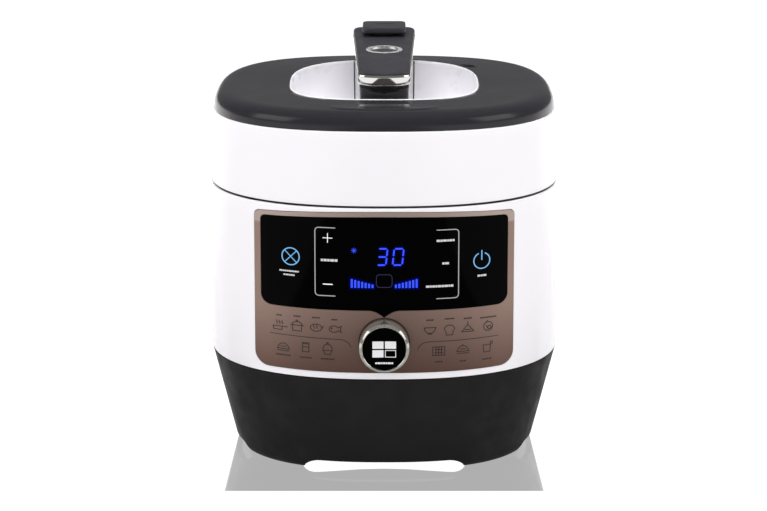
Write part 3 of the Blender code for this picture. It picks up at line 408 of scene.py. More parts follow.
def turned(name, profile, mat, body, replaces=(), closed=False, sides=96, x=0.0, y=0.0,
    sharp=35.0, scale=None):
    """Turned body; scale makes an oval of unit circles."""
    rings = [circle(r, z, sides) for r, z in profile]
    if scale:
        rings = [[Vector((p.x * scale[0], p.y * scale[1], p.z)) for p in ring] for ring in rings]
    rings = [[p + Vector((x, y, 0)) for p in ring] for ring in rings]
    return loft(name, rings, mat, body, replaces, closed, sharp)


def forward(made, y, z):
    """Turns a body modelled along +Z to point to the front."""
    made.data.transform(Matrix.Translation((0, y, z)) @ Matrix.Rotation(math.radians(90), 4, "X"))
    return made


def box_between(low, high, radius=0.0, segments=3):
    """Box from corner to corner, its edges rounded when a radius is given."""
    mesh = bmesh.new()
    size, centre = Vector(high) - Vector(low), (Vector(high) + Vector(low)) / 2
    bmesh.ops.create_cube(mesh, size=1.0, matrix=Matrix.Translation(centre) @ Matrix.Diagonal(
            (*size, 1)))
    if radius:
        bmesh.ops.bevel(mesh, geom=list(mesh.edges), offset=radius, segments=segments, profile=0.5,
            affect="EDGES")
    return mesh


def soften(made, width, degrees):
    """Rounds the edges that turn by more than an angle."""
    step = made.modifiers.new("edge", "BEVEL")
    step.width, step.segments = width, 2
    step.limit_method, step.angle_limit = "ANGLE", math.radians(degrees)


def prism_mesh(points, start, end, axis="Z"):
    def place(p, h):
        return {"X": (h, p[0], p[1]), "Y": (p[0], h, p[1]), "Z": (p[0], p[1], h)}[axis]
    mesh = bmesh.new()
    add_rings(mesh, [[place(p, start) for p in points], [place(p, end) for p in points]])
    bmesh.ops.recalc_face_normals(mesh, faces=mesh.faces)
    return mesh


def carve(target, mesh, operation="DIFFERENCE", sharp=35.0):
    """Applies one Boolean with a temporary tool shape and drops the tool."""
    bmesh.ops.recalc_face_normals(mesh, faces=mesh.faces)
    data = bpy.data.meshes.new("tool")
    mesh.to_mesh(data)
    mesh.free()
    tool = bpy.data.objects.new("tool", data)
    bpy.context.scene.collection.objects.link(tool)
    step = target.modifiers.new("carve", "BOOLEAN")
    step.operation, step.object, step.solver = operation, tool, "EXACT"
    graph = bpy.context.evaluated_depsgraph_get()
    result = bpy.data.meshes.new_from_object(target.evaluated_get(graph))
    target.modifiers.remove(step)
    target.data = result
    bpy.data.objects.remove(tool, do_unlink=True)
    result.shade_smooth()
    result.set_sharp_from_angle(angle=math.radians(sharp))
    return target


# ------------------------------------------------------------------ casing walls
def white_wall(z):
    k = (z - Z_BORDER) / (Z_SEAM - Z_BORDER)
    return WHITE_A + k * (SEAM_A - WHITE_A), 2.33 + k * 0.01


def lid_wall(z):
    k = (z - LID_Z) / (PANEL_Z - LID_Z)
    return LID_A + k * (LID_TOP_A - LID_A), 2.34 + k * 0.10


def base_wall(z):
    """Half-width and squareness of the base: rounded under-edge, then a straight taper."""
    if z >= KNEE_Z:
        k = (z - KNEE_Z) / (Z_BORDER - GAP - KNEE_Z)
        return KNEE_A + k * (WHITE_A - KNEE_A), 2.45 - 0.12 * k
    k = (z - FOOT_Z) / (KNEE_Z - FOOT_Z)
    return FOOT_A + (KNEE_A - FOOT_A) * math.sqrt(max(0.0, 1 - (1 - k) ** 2)), 2.50 - 0.05 * k


def wall_rings(wall, profile, sides=FINE):
    """Rings for (inset, z) profile points off a casing wall."""
    rings = []
    for inset, z in profile:
        a, n = wall(z)
        rings.append(superellipse(a - inset, a * DEPTH_RATIO - inset, n, z, sides, REAR_SQUARE))
    return rings


def on_wall(x, z, out=0.0):
    """Point of the white front wall at x, z, pushed out by out."""
    a, n = white_wall(z)
    b = a * DEPTH_RATIO
    y = -b * (1 - min(1.0, abs(x) / a) ** n) ** (1 / n)
    slope = (b / a) * (abs(x) / a) ** (n - 1) * (1 - (abs(x) / a) ** n) ** (1 / n - 1)
    normal = Vector((math.copysign(slope, x), -1.0, 0.0)).normalized()
    return Vector((x, y, z)) + normal * out


def rounded_outline(half_x, low, high, r_low, r_high, arch=0.0, steps=8):
    """Rounded rectangle in x, z, whose top edge bows up by arch."""
    points = []
    corners = [(half_x - r_low, low + r_low, r_low, -90), (half_x - r_high, high - r_high, r_high, 0),
        (-half_x + r_high, high - r_high, r_high, 90), (-half_x + r_low, low + r_low, r_low, 180)]
    for index, (cx, cz, r, start) in enumerate(corners):
        for k in range(steps + 1):
            t = math.radians(start + 90 * k / steps)
            points.append((cx + r * math.cos(t), cz + r * math.sin(t)))
        if index == 1 and arch:
            span = half_x - r_high
            for k in range(1, 40):
                x = span * (1 - k / 20)
                points.append((x, high + arch * (1 - (x / span) ** 2)))
    return points


FRAME_HALF, FRAME_LOW, FRAME_HIGH, FRAME_ARCH = 0.1100, 0.0945, 0.2290, 0.0040
GLASS_HALF, GLASS_LOW, GLASS_HIGH, GLASS_TIP, TIP_HALF = 0.1044, 0.1486, 0.2255, 0.0059, 0.0140


def frame_outline(grow=0.0):
    return rounded_outline(FRAME_HALF + grow, FRAME_LOW - grow, FRAME_HIGH + grow, 0.012, 0.005,
        FRAME_ARCH)


def glass_outline(grow=0.0):
    points = rounded_outline(GLASS_HALF + grow, GLASS_LOW - grow, GLASS_HIGH + grow, 0.009, 0.004,
        FRAME_ARCH * 0.8)
    steps = 8
    for k in range(2 * steps + 1):
        u = -1 + k / steps
        drop = GLASS_TIP * (1 - math.sin(abs(u) * math.pi / 2)) ** 1.15
        points.append((u * TIP_HALF, GLASS_LOW - grow - drop))
    return points


def wall_plate(name, outline, holes, out, deep, mat, replaces, round_edge=0.0003, slices=0.0022):
    """Plate on the white wall: a flat outline with holes, sliced fine and laid on the curve."""
    mesh = bmesh.new()
    edges = []
    for loop in [outline] + holes:
        verts = [mesh.verts.new((x, 0.0, z)) for x, z in loop]
        edges += [mesh.edges.new((verts[i], verts[(i + 1) % len(verts)])) for i in range(len(verts))]
    bmesh.ops.triangle_fill(mesh, edges=edges, use_beauty=True, normal=(0, -1, 0))
    bmesh.ops.dissolve_limit(mesh, angle_limit=0.01, verts=mesh.verts, edges=mesh.edges,
        use_dissolve_boundaries=False)
    half = max(abs(x) for x, _ in outline)
    count = int(2 * half / slices)
    for k in range(1, count):
        x = -half + 2 * half * k / count
        geom = list(mesh.verts) + list(mesh.edges) + list(mesh.faces)
        bmesh.ops.bisect_plane(mesh, geom=geom, plane_co=(x, 0, 0), plane_no=(1, 0, 0), dist=1e-7)
    bmesh.ops.recalc_face_normals(mesh, faces=mesh.faces)
    if sum(f.normal.y for f in mesh.faces) > 0:
        bmesh.ops.reverse_faces(mesh, faces=mesh.faces)
    back = bmesh.ops.extrude_face_region(mesh, geom=list(mesh.faces))
    moved = [v for v in back["geom"] if isinstance(v, bmesh.types.BMVert)]
    moved_set = set(moved)
    for v in mesh.verts:
        v.co = on_wall(v.co.x, v.co.z, out if v in moved_set else -deep)
    made = finish(name, mesh, mat, "body", replaces, sharp=40.0)
    soften(made, round_edge, 50)
    return made


# ------------------------------------------------------------------ printed marks
def ribbon(points, width, closed=False):
    """A stroke as a closed 2-D strip: left side, then right side."""
    pts = [Vector(p) for p in points]
    count = len(pts)
    left, right = [], []
    for i, p in enumerate(pts):
        before = pts[i - 1] if (closed or i) else None
        after = pts[(i + 1) % count] if (closed or i < count - 1) else None
        d1 = (p - before).normalized() if before is not None and (p - before).length else None
        d2 = (after - p).normalized() if after is not None and (after - p).length else None
        d = (d1 or d2) if (d1 is None or d2 is None) else (d1 + d2).normalized()
        side = Vector((-d.y, d.x))
        reach = width / 2
        if d1 is not None and d2 is not None:
            reach /= max(0.5, abs(side.dot(Vector((-d1.y, d1.x)))))
        left.append(p + side * reach)
        right.append(p - side * reach)
    return left, right, closed


def arc(cx, cz, r, start, end, steps=28, rz=None):
    rz = r if rz is None else rz
    return [(cx + r * math.cos(math.radians(start + (end - start) * k / steps)),
            cz + rz * math.sin(math.radians(start + (end - start) * k / steps)))
        for k in range(steps + 1)]


def rect(x0, z0, x1, z1):
    return [(x0, z0), (x1, z0), (x1, z1), (x0, z1)]


class Print:
    """Collects strokes and fills in panel x, z, then lays them on a surface as thin solids of ink."""

    def __init__(self):
        self.strokes, self.fills = [], []

    def stroke(self, points, width, closed=False):
        """Long runs are split so that the ink follows the curve of the wall."""
        route = []
        ends = list(points[1:]) + ([points[0]] if closed else [])
        for p, q in zip(points, ends):
            parts = max(1, math.ceil(math.dist(p, q) / STEP))
            route += [(p[0] + (q[0] - p[0]) * k / parts, p[1] + (q[1] - p[1]) * k / parts)
                for k in range(parts)]
        if not closed:
            route.append(points[-1])
        self.strokes.append(ribbon(route, width, closed))

    def fill(self, points):
        self.fills.append([Vector(p) for p in points])

    def lay(self, name, mat, body, slot, place, low, high):
        mesh = bmesh.new()
        for left, right, closed in self.strokes:
            rows = [[mesh.verts.new(place(p.x, p.y, h)) for p in side]
                for side, h in ((left, high), (right, high), (right, low), (left, low))]
            count = len(left)
            for i in range(count if closed else count - 1):
                j = (i + 1) % count
                for r in range(4):
                    s = (r + 1) % 4
                    mesh.faces.new((rows[r][i], rows[r][j], rows[s][j], rows[s][i]))
            if not closed:
                mesh.faces.new([rows[r][0] for r in range(4)])
                mesh.faces.new([rows[r][-1] for r in reversed(range(4))])
        for points in self.fills:
            top = [mesh.verts.new(place(p.x, p.y, high)) for p in points]
            bottom = [mesh.verts.new(place(p.x, p.y, low)) for p in points]
            mesh.faces.new(top)
            mesh.faces.new(list(reversed(bottom)))
            for i in range(len(points)):
                j = (i + 1) % len(points)
                mesh.faces.new((top[i], bottom[i], bottom[j], top[j]))
        return finish(name, mesh, mat, body, merge=False)


def dashes(sheet, cx, cz, width, height, seed=1):
    """A caption bar: a row of short strokes in place of words."""
    share = [0.9, 0.6, 1.2, 0.8, 1.1, 0.7]
    count = max(2, round(width / (height * 1.5)))
    lengths = [share[(k * 5 + seed) % 6] for k in range(count)]
    space = 0.22 * height
    unit = (width - space * (count - 1)) / sum(lengths)
    x = cx - width / 2
    for length in lengths:
        sheet.fill(rect(x, cz - height / 2, x + length * unit, cz + height / 2))
        x += length * unit + space


# ------------------------------------------------------------------ body
def build_base():
    outer = [(0.0, KNEE_Z + (Z_BORDER - 0.0010 - KNEE_Z) * k / 24) for k in range(1, 25)]
    under = [(0.0, FOOT_Z + (KNEE_Z - FOOT_Z) * (1 - math.cos(math.pi / 2 * k / 9))) for k in range(10)]
    top = [(0.0004, Z_BORDER - 0.0005), (0.0008, Z_BORDER - GAP), (WALL - 0.0004, Z_BORDER - GAP),
        (WALL, Z_BORDER - 0.0008)]
    rings = wall_rings(base_wall, under + outer + top + [(WALL, 0.0125)])
    rings += [superellipse(0.1267, 0.1197, 2.48, z, FINE, REAR_SQUARE) for z in (0.0085, 0.0062)]
    rings += [superellipse(0.100, 0.094, 2.5, z) for z in (0.0062, FOOT_Z)]
    made = loft("base_tub", rings, "base", "body", ["base_housing"], closed=True)
    foot_x = -ARCH_HALF - 0.012
    left = [(foot_x, -0.01), (foot_x, 0.0)]
    left += [(foot_x + ARCH_CURVE * k / 8, ARCH_HIGH * (1 - (1 - k / 8) ** 2) ** 0.5)
        for k in range(1, 9)]
    for axis in ("Y", "X"):
        carve(made, prism_mesh(left + [(-x, z) for x, z in reversed(left)], -FAR, FAR, axis))
    low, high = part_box("power_inlet")
    carve(made, box_between(low - Vector((0.0003, 0.01, 0.0003)),
            high + Vector((0.0003, 0.01, 0.0003))))
    for foot in ("foot_front_left", "foot_front_right", "foot_back_left", "foot_back_right"):
        lo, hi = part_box(foot)
        x, y, r = (lo[0] + hi[0]) / 2, (lo[1] + hi[1]) / 2, (hi[0] - lo[0]) / 2
        tool = bmesh.new()
        add_rings(tool, [circle(r + GAP, -0.01, 48, x, y), circle(r + GAP, hi[2] + GAP, 48, x, y)])
        carve(made, tool)
        profile = [(r - 0.0030, 0.0004), (r - 0.0024, 0.0), (r - 0.0010, 0.0), (r - 0.0003, 0.0003),
            (r, 0.0010), (r, hi[2])]
        turned(f"{foot}_pad", profile, "rubber", "body", [foot], sides=48, x=x, y=y)


def build_white_shell():
    profile = fillet([(0.0, Z_BORDER), (0.0, Z_SEAM), (WALL, Z_SEAM), (WALL, Z_BORDER)],
        [0.0005, 0.0011, 0.0006, 0.0003])
    low, high = Z_BORDER + 0.0003, Z_SEAM - 0.004
    mids = [(0.0, low + (high - low) * k / 12) for k in range(1, 12)]
    cut = next(i for i, p in enumerate(profile) if p[1] > 0.2 and p[0] < 0.0006)
    rings = wall_rings(white_wall, profile[:cut] + mids + profile[cut:])
    made = loft("white_body_shell", rings, "white", "body", ["body_shell"], closed=True)
    carve(made, prism_mesh(frame_outline(0.0004), -FAR, -0.05, "Y"))


def build_panel():
    dial_hole = arc(0.0, DIAL_Z, 0.0076, 0, 360 - 360 / 40, 39)
    wall_plate("bronze_fascia", frame_outline(), [glass_outline(0.0002), dial_hole], PANEL_OUT, 0.0023,
        "bronze", ["fascia_frame"], 0.0004)
    wall_plate("touch_glass", glass_outline(), [], GLASS_OUT, 0.0017, "glass",
        ["display_glass"], 0.0003)
    frame_print()
    glass_print()


def pictograms():
    """Line drawings in a box about 1 wide and 1 high, centred on 0, as (points, closed) strokes."""
    def line(x0, z0, x1, z1):
        return [(x0, z0), (x1, z1)], False

    bowl = [(arc(0, 0.05, 0.5, 180, 360), False), line(-0.6, 0.08, 0.6, 0.08),
        line(-0.22, -0.52, 0.22, -0.52)]
    steam = [([(x, 0.22), (x + 0.06, 0.34), (x - 0.06, 0.46), (x, 0.58)], False)
        for x in (-0.2, 0.05, 0.3)]
    pan = [([(-0.55, 0.0), (-0.5, -0.3), (0.25, -0.3), (0.3, 0.0)], False), line(-0.6, 0.02, 0.8, 0.02)]
    pot = [([(-0.45, 0.15), (-0.40, -0.42), (0.40, -0.42), (0.45, 0.15)], False),
        (arc(0, 0.15, 0.45, 180, 0, rz=0.30), False), line(-0.62, 0.12, 0.62, 0.12),
        (arc(0, 0.52, 0.08, 0, 360), True)]
    loaf = [(arc(0, -0.05, 0.52, 0, 360, rz=0.34)[:-1], True), line(-0.25, 0.18, -0.12, -0.15),
        line(0.02, 0.22, 0.14, -0.15), line(0.52, -0.1, 0.7, 0.12)]
    fish = [(arc(-0.05, 0, 0.42, 25, 335, rz=0.30), False),
        ([(0.33, 0.13), (0.65, 0.30), (0.55, 0.0), (0.65, -0.30), (0.33, -0.13)], False),
        (arc(-0.25, 0.06, 0.05, 0, 330, 10), True)]
    toque = [line(-0.30, -0.45, -0.34, 0.0), line(0.30, -0.45, 0.34, 0.0),
        line(-0.32, -0.45, 0.32, -0.45), (arc(0, 0.12, 0.46, 200, -20, rz=0.36), False)]
    cone = [([(-0.55, -0.35), (0.0, 0.28), (0.55, -0.35)], False), line(-0.6, -0.38, 0.6, -0.38),
        line(0, 0.3, 0, 0.6), line(-0.3, -0.2, 0.3, -0.2)]
    leaf = [(arc(0, 0, 0.42, 0, 346), True), (arc(0.12, -0.1, 0.16, 0, 330, 14), True),
        line(-0.3, 0.25, -0.05, 0.55), line(-0.2, 0.1, 0.02, -0.28)]
    jar = [([(-0.30, 0.30), (-0.30, -0.45), (0.30, -0.45), (0.30, 0.30)], True),
        line(-0.36, 0.40, 0.36, 0.40), line(-0.30, 0.0, 0.30, 0.0)]
    cake = [(arc(0, 0.0, 0.42, 200, -20, rz=0.45), False),
        ([(-0.4, -0.15), (-0.26, -0.5), (0.26, -0.5), (0.4, -0.15)], True),
        (arc(0, 0.55, 0.07, 0, 330, 10), True)]
    grid = [(rect(-0.55, -0.4, 0.55, 0.4), True)] + [([(x, -0.4), (x, 0.4)], False)
        for x in (-0.25, 0.0, 0.25)]
    grid += [([(-0.4, z), (0.4, z)], False) for z in (-0.15, 0.15)]
    dome = [(arc(0, -0.2, 0.5, 0, 180, rz=0.5), False), line(-0.62, -0.22, 0.62, -0.22),
        line(-0.55, -0.4, 0.55, -0.4), line(-0.25, 0.0, 0.25, 0.0)]
    mug = [([(-0.35, 0.25), (-0.28, -0.42), (0.28, -0.42), (0.35, 0.25)], True),
        (arc(0.42, 0.42, 0.12, 0, 330, 10), True)]
    return {"pan": pan + steam, "pot": pot, "loaf": loaf, "fish": fish, "bowl": bowl, "toque": toque,
        "cone": cone, "leaf": leaf, "hut": dome, "jar": jar, "cake": cake, "grid": grid,
        "dome": dome + [line(0, 0.3, 0, 0.45)], "mug": mug}


def frame_print():
    """Brown programme symbols, captions and divider lines on the fascia."""
    sheet = Print()
    icons = pictograms()
    upper = [("pan", -0.0890, 0.1304, 0.0098), ("pot", -0.0736, 0.1320, 0.0089),
        ("loaf", -0.0575, 0.1327, 0.0082), ("fish", -0.0420, 0.1318, 0.0082),
        ("bowl", 0.0385, 0.1324, 0.0074), ("toque", 0.0550, 0.1302, 0.0100),
        ("cone", 0.0705, 0.1314, 0.0080), ("leaf", 0.0880, 0.1306, 0.0078)]
    lower = [("hut", -0.0855, 0.1133, -0.0075), ("jar", -0.0664, 0.1147, -0.0092),
        ("cake", -0.0478, 0.1142, -0.0087), ("grid", 0.0460, 0.1125, -0.0093),
        ("dome", 0.0665, 0.1130, -0.0104), ("mug", 0.0870, 0.1121, -0.0101)]
    size, line = 0.0092, 0.00074
    for name, cx, cz, _ in upper + lower:
        for points, closed in icons[name]:
            sheet.stroke([(cx + x * size, cz + z * size) for x, z in points], line, closed)
    widths = (0.0045, 0.0060, 0.0065, 0.0050, 0.0060, 0.0080, 0.0070, 0.0140, 0.0125, 0.0100, 0.0115,
        0.0065, 0.0055, 0.0080)
    for index, ((_, cx, cz, lift), wide) in enumerate(zip(upper + lower, widths)):
        dashes(sheet, cx, cz + lift, wide, 0.0012, index)
    left = [(-0.0968, 0.1237), (-0.0800, 0.1236), (-0.0600, 0.1233), (-0.0420, 0.1230)]
    right = [(0.0968, 0.1212), (0.0800, 0.1212), (0.0600, 0.1210), (0.0420, 0.1209)]
    for side, straight in ((-1, left), (1, right)):
        top = straight[-1][1]
        turns = [math.radians(a) for a in range(0, 91, 10)]
        sheet.stroke(straight + [(side * (0.0380 - 0.0095 * math.sin(t)),
                top - 0.0068 * (1 - math.cos(t))) for t in turns], 0.0006)
    sheet.lay("fascia_print", "umber", "body", "bronze", on_wall, PANEL_OUT - 0.00002, PANEL_OUT + INK)


SEGMENTS = {"a": ((0, 2), (1, 2)), "b": ((1, 2), (1, 1)), "c": ((1, 1), (1, 0)), "d": ((0, 0), (1, 0)),
    "e": ((0, 0), (0, 1)), "f": ((0, 1), (0, 2)), "g": ((0, 1), (1, 1))}
DIGITS = {"3": "abgcd", "0": "abcdef"}


def digit(sheet, halo, char, x, z, wide, tall, bar):
    """Seven-segment figure with pointed bars, a slight lean and a soft glow behind each bar."""
    lean = 0.10
    for name in DIGITS[char]:
        (x0, z0), (x1, z1) = SEGMENTS[name]
        p, q = Vector((x0 * wide, z0 * tall / 2)), Vector((x1 * wide, z1 * tall / 2))
        along = (q - p).normalized()
        side = Vector((-along.y, along.x)) * bar / 2
        p, q = p + along * bar * 0.32, q - along * bar * 0.32
        tip = along * bar / 2
        outline = [p, p + tip + side, q - tip + side, q, q - tip - side, p + tip - side]
        sheet.fill([(x + v.x + lean * v.y, z + v.y) for v in outline])
        halo.stroke([(x + v.x + lean * v.y, z + v.y) for v in (p, q)], bar * 3.0)


def glass_print():
    """Lit figures and bars, touch keys and bracket lines on the black glass; the printed plus and minus
    marks, captions and bracket lines carry a painted glow on top of their print colour.
    """
    blue, sky, mark, text, line, dim, halo = [Print() for _ in range(7)]
    digit(blue, halo, "3", -0.0062, 0.1880, 0.0076, 0.0140, 0.0014)
    digit(blue, halo, "0", 0.0070, 0.1880, 0.0080, 0.0140, 0.0014)
    blue.fill(arc(-0.0254, 0.2003, 0.0011, 0, 345, 23))
    for a in range(0, 360, 45):
        c, s = math.cos(math.radians(a)), math.sin(math.radians(a))
        blue.stroke([(-0.0254 + 0.0016 * c, 0.2003 + 0.0016 * s),
                (-0.0254 + 0.0023 * c, 0.2003 + 0.0023 * s)], 0.0005)
    for k in range(7):
        for side in (-1, 1):
            x = side * (0.0098 + 0.0029 * k)
            tall = 0.0030 + 0.00075 * k
            blue.fill(rect(x - 0.00085, 0.1682, x + 0.00085, 0.1682 + tall))
            halo.stroke([(x, 0.1666), (x, 0.1698 + tall)], 0.0046)
    ring = rounded_outline(0.0066, 0.1688, 0.1797, 0.0026, 0.0026, 0.0, 4)
    dim.stroke(ring, 0.0005, True)
    cx, cz = -0.0786, 0.1924
    sky.stroke(arc(cx, cz, 0.0073, 0, 360 - 360 / 60, 59), 0.0009, True)
    for a in (45, 135):
        c, s = 0.0069 * math.cos(math.radians(a)), 0.0069 * math.sin(math.radians(a))
        sky.stroke([(cx - c, cz - s), (cx + c, cz + s)], 0.0007)
    cx, cz = 0.0820, 0.1884
    sky.stroke(arc(cx, cz, 0.0068, 112, 428, 60), 0.0009)
    sky.stroke([(cx, cz + 0.0005), (cx, cz + 0.0090)], 0.0009)
    mark.stroke([(-0.0515, 0.2104), (-0.0433, 0.2104)], 0.0006)
    mark.stroke([(-0.0474, 0.2063), (-0.0474, 0.2145)], 0.0006)
    mark.stroke([(-0.0515, 0.1706), (-0.0433, 0.1706)], 0.0008)
    for cx, cz, wide, tall, seed in ((-0.0461, 0.1913, 0.0140, 0.0020, 1),
        (-0.0800, 0.1796, 0.0165, 0.0013, 2), (-0.0801, 0.1763, 0.0095, 0.0013, 3),
        (0.0513, 0.2080, 0.0150, 0.0018, 4), (0.0514, 0.1884, 0.0056, 0.0018, 5),
        (0.0465, 0.1689, 0.0230, 0.0018, 2), (0.0822, 0.1755, 0.0075, 0.0016, 0)):
        dashes(text, cx, cz, wide, tall, seed)
    for side, x_in, x_out, low, high in ((-1, 0.0410, 0.0580, 0.1606, 0.2192),
        (1, 0.0438, 0.0624, 0.1582, 0.2172)):
        r = 0.0030
        corner_high = [(x_out - r + r * math.sin(math.radians(a)),
                high - r + r * math.cos(math.radians(a))) for a in range(0, 91, 15)]
        corner_low = [(x_out - r + r * math.cos(math.radians(a)),
                low + r - r * math.sin(math.radians(a))) for a in range(0, 91, 15)]
        line.stroke([(side * x, z) for x, z in [(x_in, high)] + corner_high + corner_low
                + [(x_in, low)]], 0.0007)
    halo.stroke([(-0.0262, 0.2000), (-0.0246, 0.2000)], 0.0044)
    halo.lay("display_glow", "halo", "body", "panel_glass", on_wall, GLASS_OUT - 0.00002,
        GLASS_OUT + INK / 2)
    for sheet, name, mat in ((blue, "display_figures", "blue"), (sky, "touch_keys", "sky"),
        (mark, "plus_minus_keys", "mark"), (text, "panel_captions", "text"),
        (line, "bracket_lines", "line"), (dim, "display_box", "dim")):
        sheet.lay(name, mat, "body", "panel_glass", on_wall, GLASS_OUT - 0.00002, GLASS_OUT + INK)


def build_dial():
    # Painted shadow: a thin dark ring on the fascia round the foot of the dial.
    collar = [(0.0150, 0.0), (DIAL_R + 0.0007, 0.0), (DIAL_R + 0.0007, 0.0010), (0.0150, 0.0010)]
    painted_shadow_ring = turned("dial_shadow_collar", collar, "umber", "body", closed=True, sides=96)
    forward(painted_shadow_ring, on_wall(0.0, DIAL_Z, PANEL_OUT).y + 0.0003, DIAL_Z)
    length = DIAL_BACK - DIAL_FRONT
    seat = length - 0.0050
    points = [(0.0070, -0.0080), (0.0070, 0.0), (DIAL_R, 0.0), (DIAL_R, length - 0.0026),
        (DIAL_BORE + 0.0007, length - 0.0001), (DIAL_BORE, length - 0.0008), (DIAL_BORE, seat),
        (0.0046, seat), (0.0046, -0.0080)]
    profile = fillet(points, [0.0003, 0.0005, 0.0008, 0.0012, 0.0004, 0.0003, 0.0003, 0.0003, 0.0003],
        6)
    ring = turned("chrome_dial", profile, "dial", "dial", ["dial_ring"], closed=True,
        sides=144)
    forward(ring, DIAL_BACK, DIAL_Z)
    face_r, top = DIAL_BORE - 0.0004, length - 0.0006
    profile = [(0.0042, -0.0110), (0.0042, seat + 0.0022), (face_r, seat + 0.0022),
        (face_r, top - 0.0004), (face_r - 0.0004, top)]
    profile += [(face_r - 0.0010 - 0.014 * k / 6, top - 0.0008 * math.sin(math.pi / 2 * k / 6))
        for k in range(0, 7)]
    cap = turned("menu_button_cap", profile, "glass", "menu_button", ["menu_button"],
        sides=96)
    forward(cap, DIAL_BACK, DIAL_Z)
    y_face = DIAL_BACK - top

    def on_face(x, z, out):
        r = math.hypot(x, z - DIAL_Z)
        k = min(1.0, max(0.0, (face_r - 0.0010 - r) / 0.014))
        return Vector((x, y_face + 0.0008 * math.sin(math.pi / 2 * k) - out, z))

    sheet = Print()
    cz = DIAL_Z - 0.0003
    half_x, half_z, split = 0.0099, 0.0069, 0.0006
    for sx, sz in ((-1, 1), (1, 1), (-1, -1)):
        x0, x1 = sorted((sx * split, sx * half_x))
        z0, z1 = sorted((cz + sz * split, cz + sz * half_z))
        sheet.fill(rect(x0, z0, x1, z1))
    sheet.stroke(rect(split + 0.0003, cz - half_z + 0.0003, half_x - 0.0003, cz - split - 0.0003),
        0.0006, True)
    dashes(sheet, 0.0, cz - 0.0118, 0.0150, 0.0015, 3)
    sheet.lay("menu_symbol", "paint", "menu_button", "panel_glass", on_face, -0.00002, INK)


def build_back():
    low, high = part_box("power_inlet")
    made = finish("mains_inlet", box_between(low, high, 0.0014), "base", "body",
        ["power_inlet"])
    cx, cz = (low[0] + high[0]) / 2, (low[2] + high[2]) / 2
    for half, top_half, rise, shoulder, radius, deep in (
        (0.0120, 0.0075, 0.0082, 0.0040, 0.0010, 0.0160), (0.0150, 0.0090, 0.0112, 0.0050, 0.0015,
            0.0012)):
        mouth = fillet([(cx - half, cz - rise), (cx + half, cz - rise), (cx + half, cz + shoulder),
                (cx + top_half, cz + rise), (cx - top_half, cz + rise), (cx - half, cz + shoulder)],
            [radius] * 6, 4)
        carve(made, prism_mesh(mouth, high[1] - deep, FAR, "Y"))
    for name in ("inlet_blade_line", "inlet_blade_neutral", "inlet_blade_earth"):
        lo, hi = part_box(name)
        finish(f"{name}_plated", box_between(lo, hi, 0.0004, 2), "brass", "body", [name])
        carve(made, box_between(Vector(lo) - Vector((GAP, GAP, GAP)),
                Vector(hi) + Vector((GAP, 0.01, GAP))))
    hinge()
    cup()


HINGE_Y, HINGE_Z, HINGE_R, PIN_R = 0.1530, 0.2400, 0.0065, 0.0025
BRACKET_HALF, ARM_HALF, PIN_HALF, BRACKET_LOW = 0.0360, 0.0220, 0.0372, 0.2150


def hinge():
    """Bracket on the body, knuckle on the lid, and the pin through both."""
    wall_y = SEAM_A * DEPTH_RATIO + 0.0006
    ear = [(wall_y, BRACKET_LOW), (wall_y + 0.006, BRACKET_LOW)] + arc(HINGE_Y, HINGE_Z, HINGE_R, -20,
        160, 20)
    ear += [(HINGE_Y - HINGE_R, 0.2365), (wall_y, 0.2335)]
    bracket = finish("rear_hinge_bracket", prism_mesh(ear, -BRACKET_HALF, BRACKET_HALF, "X"), "base",
        "body", ["hinge_bracket"], 30.0)
    space = HINGE_R + 0.0020
    carve(bracket, box_between((-ARM_HALF - 0.0004, HINGE_Y - space, HINGE_Z - space),
            (ARM_HALF + 0.0004, FAR, 0.26)), sharp=30.0)
    hole = arc(HINGE_Y, HINGE_Z, PIN_R + GAP, 0, 348, 29)
    carve(bracket, prism_mesh(hole, -0.1, 0.1, "X"), sharp=30.0)
    soften(bracket, 0.0005, 50)
    lid_y = LID_A * DEPTH_RATIO + 0.0008
    knuckle = arc(HINGE_Y, HINGE_Z, HINGE_R, -120, 120, 24)
    knuckle += [(HINGE_Y - 0.002, HINGE_Z + 0.014), (lid_y, HINGE_Z + 0.018), (lid_y, HINGE_Z + 0.001)]
    arm = finish("lid_hinge_knuckle", prism_mesh(knuckle, -ARM_HALF, ARM_HALF, "X"), "base", "lid",
        ["lid_hinge_arm"], 30.0)
    carve(arm, prism_mesh(hole, -0.1, 0.1, "X"), sharp=30.0)
    soften(arm, 0.0005, 50)
    pin = prism_mesh(arc(HINGE_Y, HINGE_Z, PIN_R, 0, 348, 29), -PIN_HALF, PIN_HALF, "X")
    soften(finish("steel_hinge_pin", pin, "bolt", "body", ["hinge_pin"], 30.0), 0.0004, 40)


def cup():
    low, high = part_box("cup_holder")
    outline = fillet([(low[0], low[2]), (high[0], low[2]), (high[0], high[2]), (low[0], high[2])],
        [0.006] * 4, 6)
    holder = finish("cup_holder_moulding", prism_mesh(outline, low[1], high[1], "Y"), "base", "body",
        ["cup_holder"], 30.0)
    tool = bmesh.new()
    add_rings(tool, wall_rings(white_wall, [(-GAP, 0.110), (-GAP, 0.210)]))
    carve(holder, tool, sharp=30.0)
    bay = fillet([(-0.0340, 0.1285), (0.0340, 0.1285), (0.0340, 0.1860), (-0.0340, 0.1860)],
        [0.003] * 4, 5)
    carve(holder, prism_mesh(bay, 0.1475, FAR, "Y"), sharp=30.0)
    soften(holder, 0.0006, 60)
    lo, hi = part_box("condensate_cup")
    made = finish("drip_cup", box_between(lo, hi, 0.0022, 4), "smoke", "cup",
        ["condensate_cup"])
    side = Vector((0.0018, 0.0018, 0.0))
    inside = box_between(lo + side + Vector((0, 0, 0.0030)), Vector((hi[0], hi[1], 0.3)) - side, 0.0015)
    carve(made, inside, sharp=40.0)


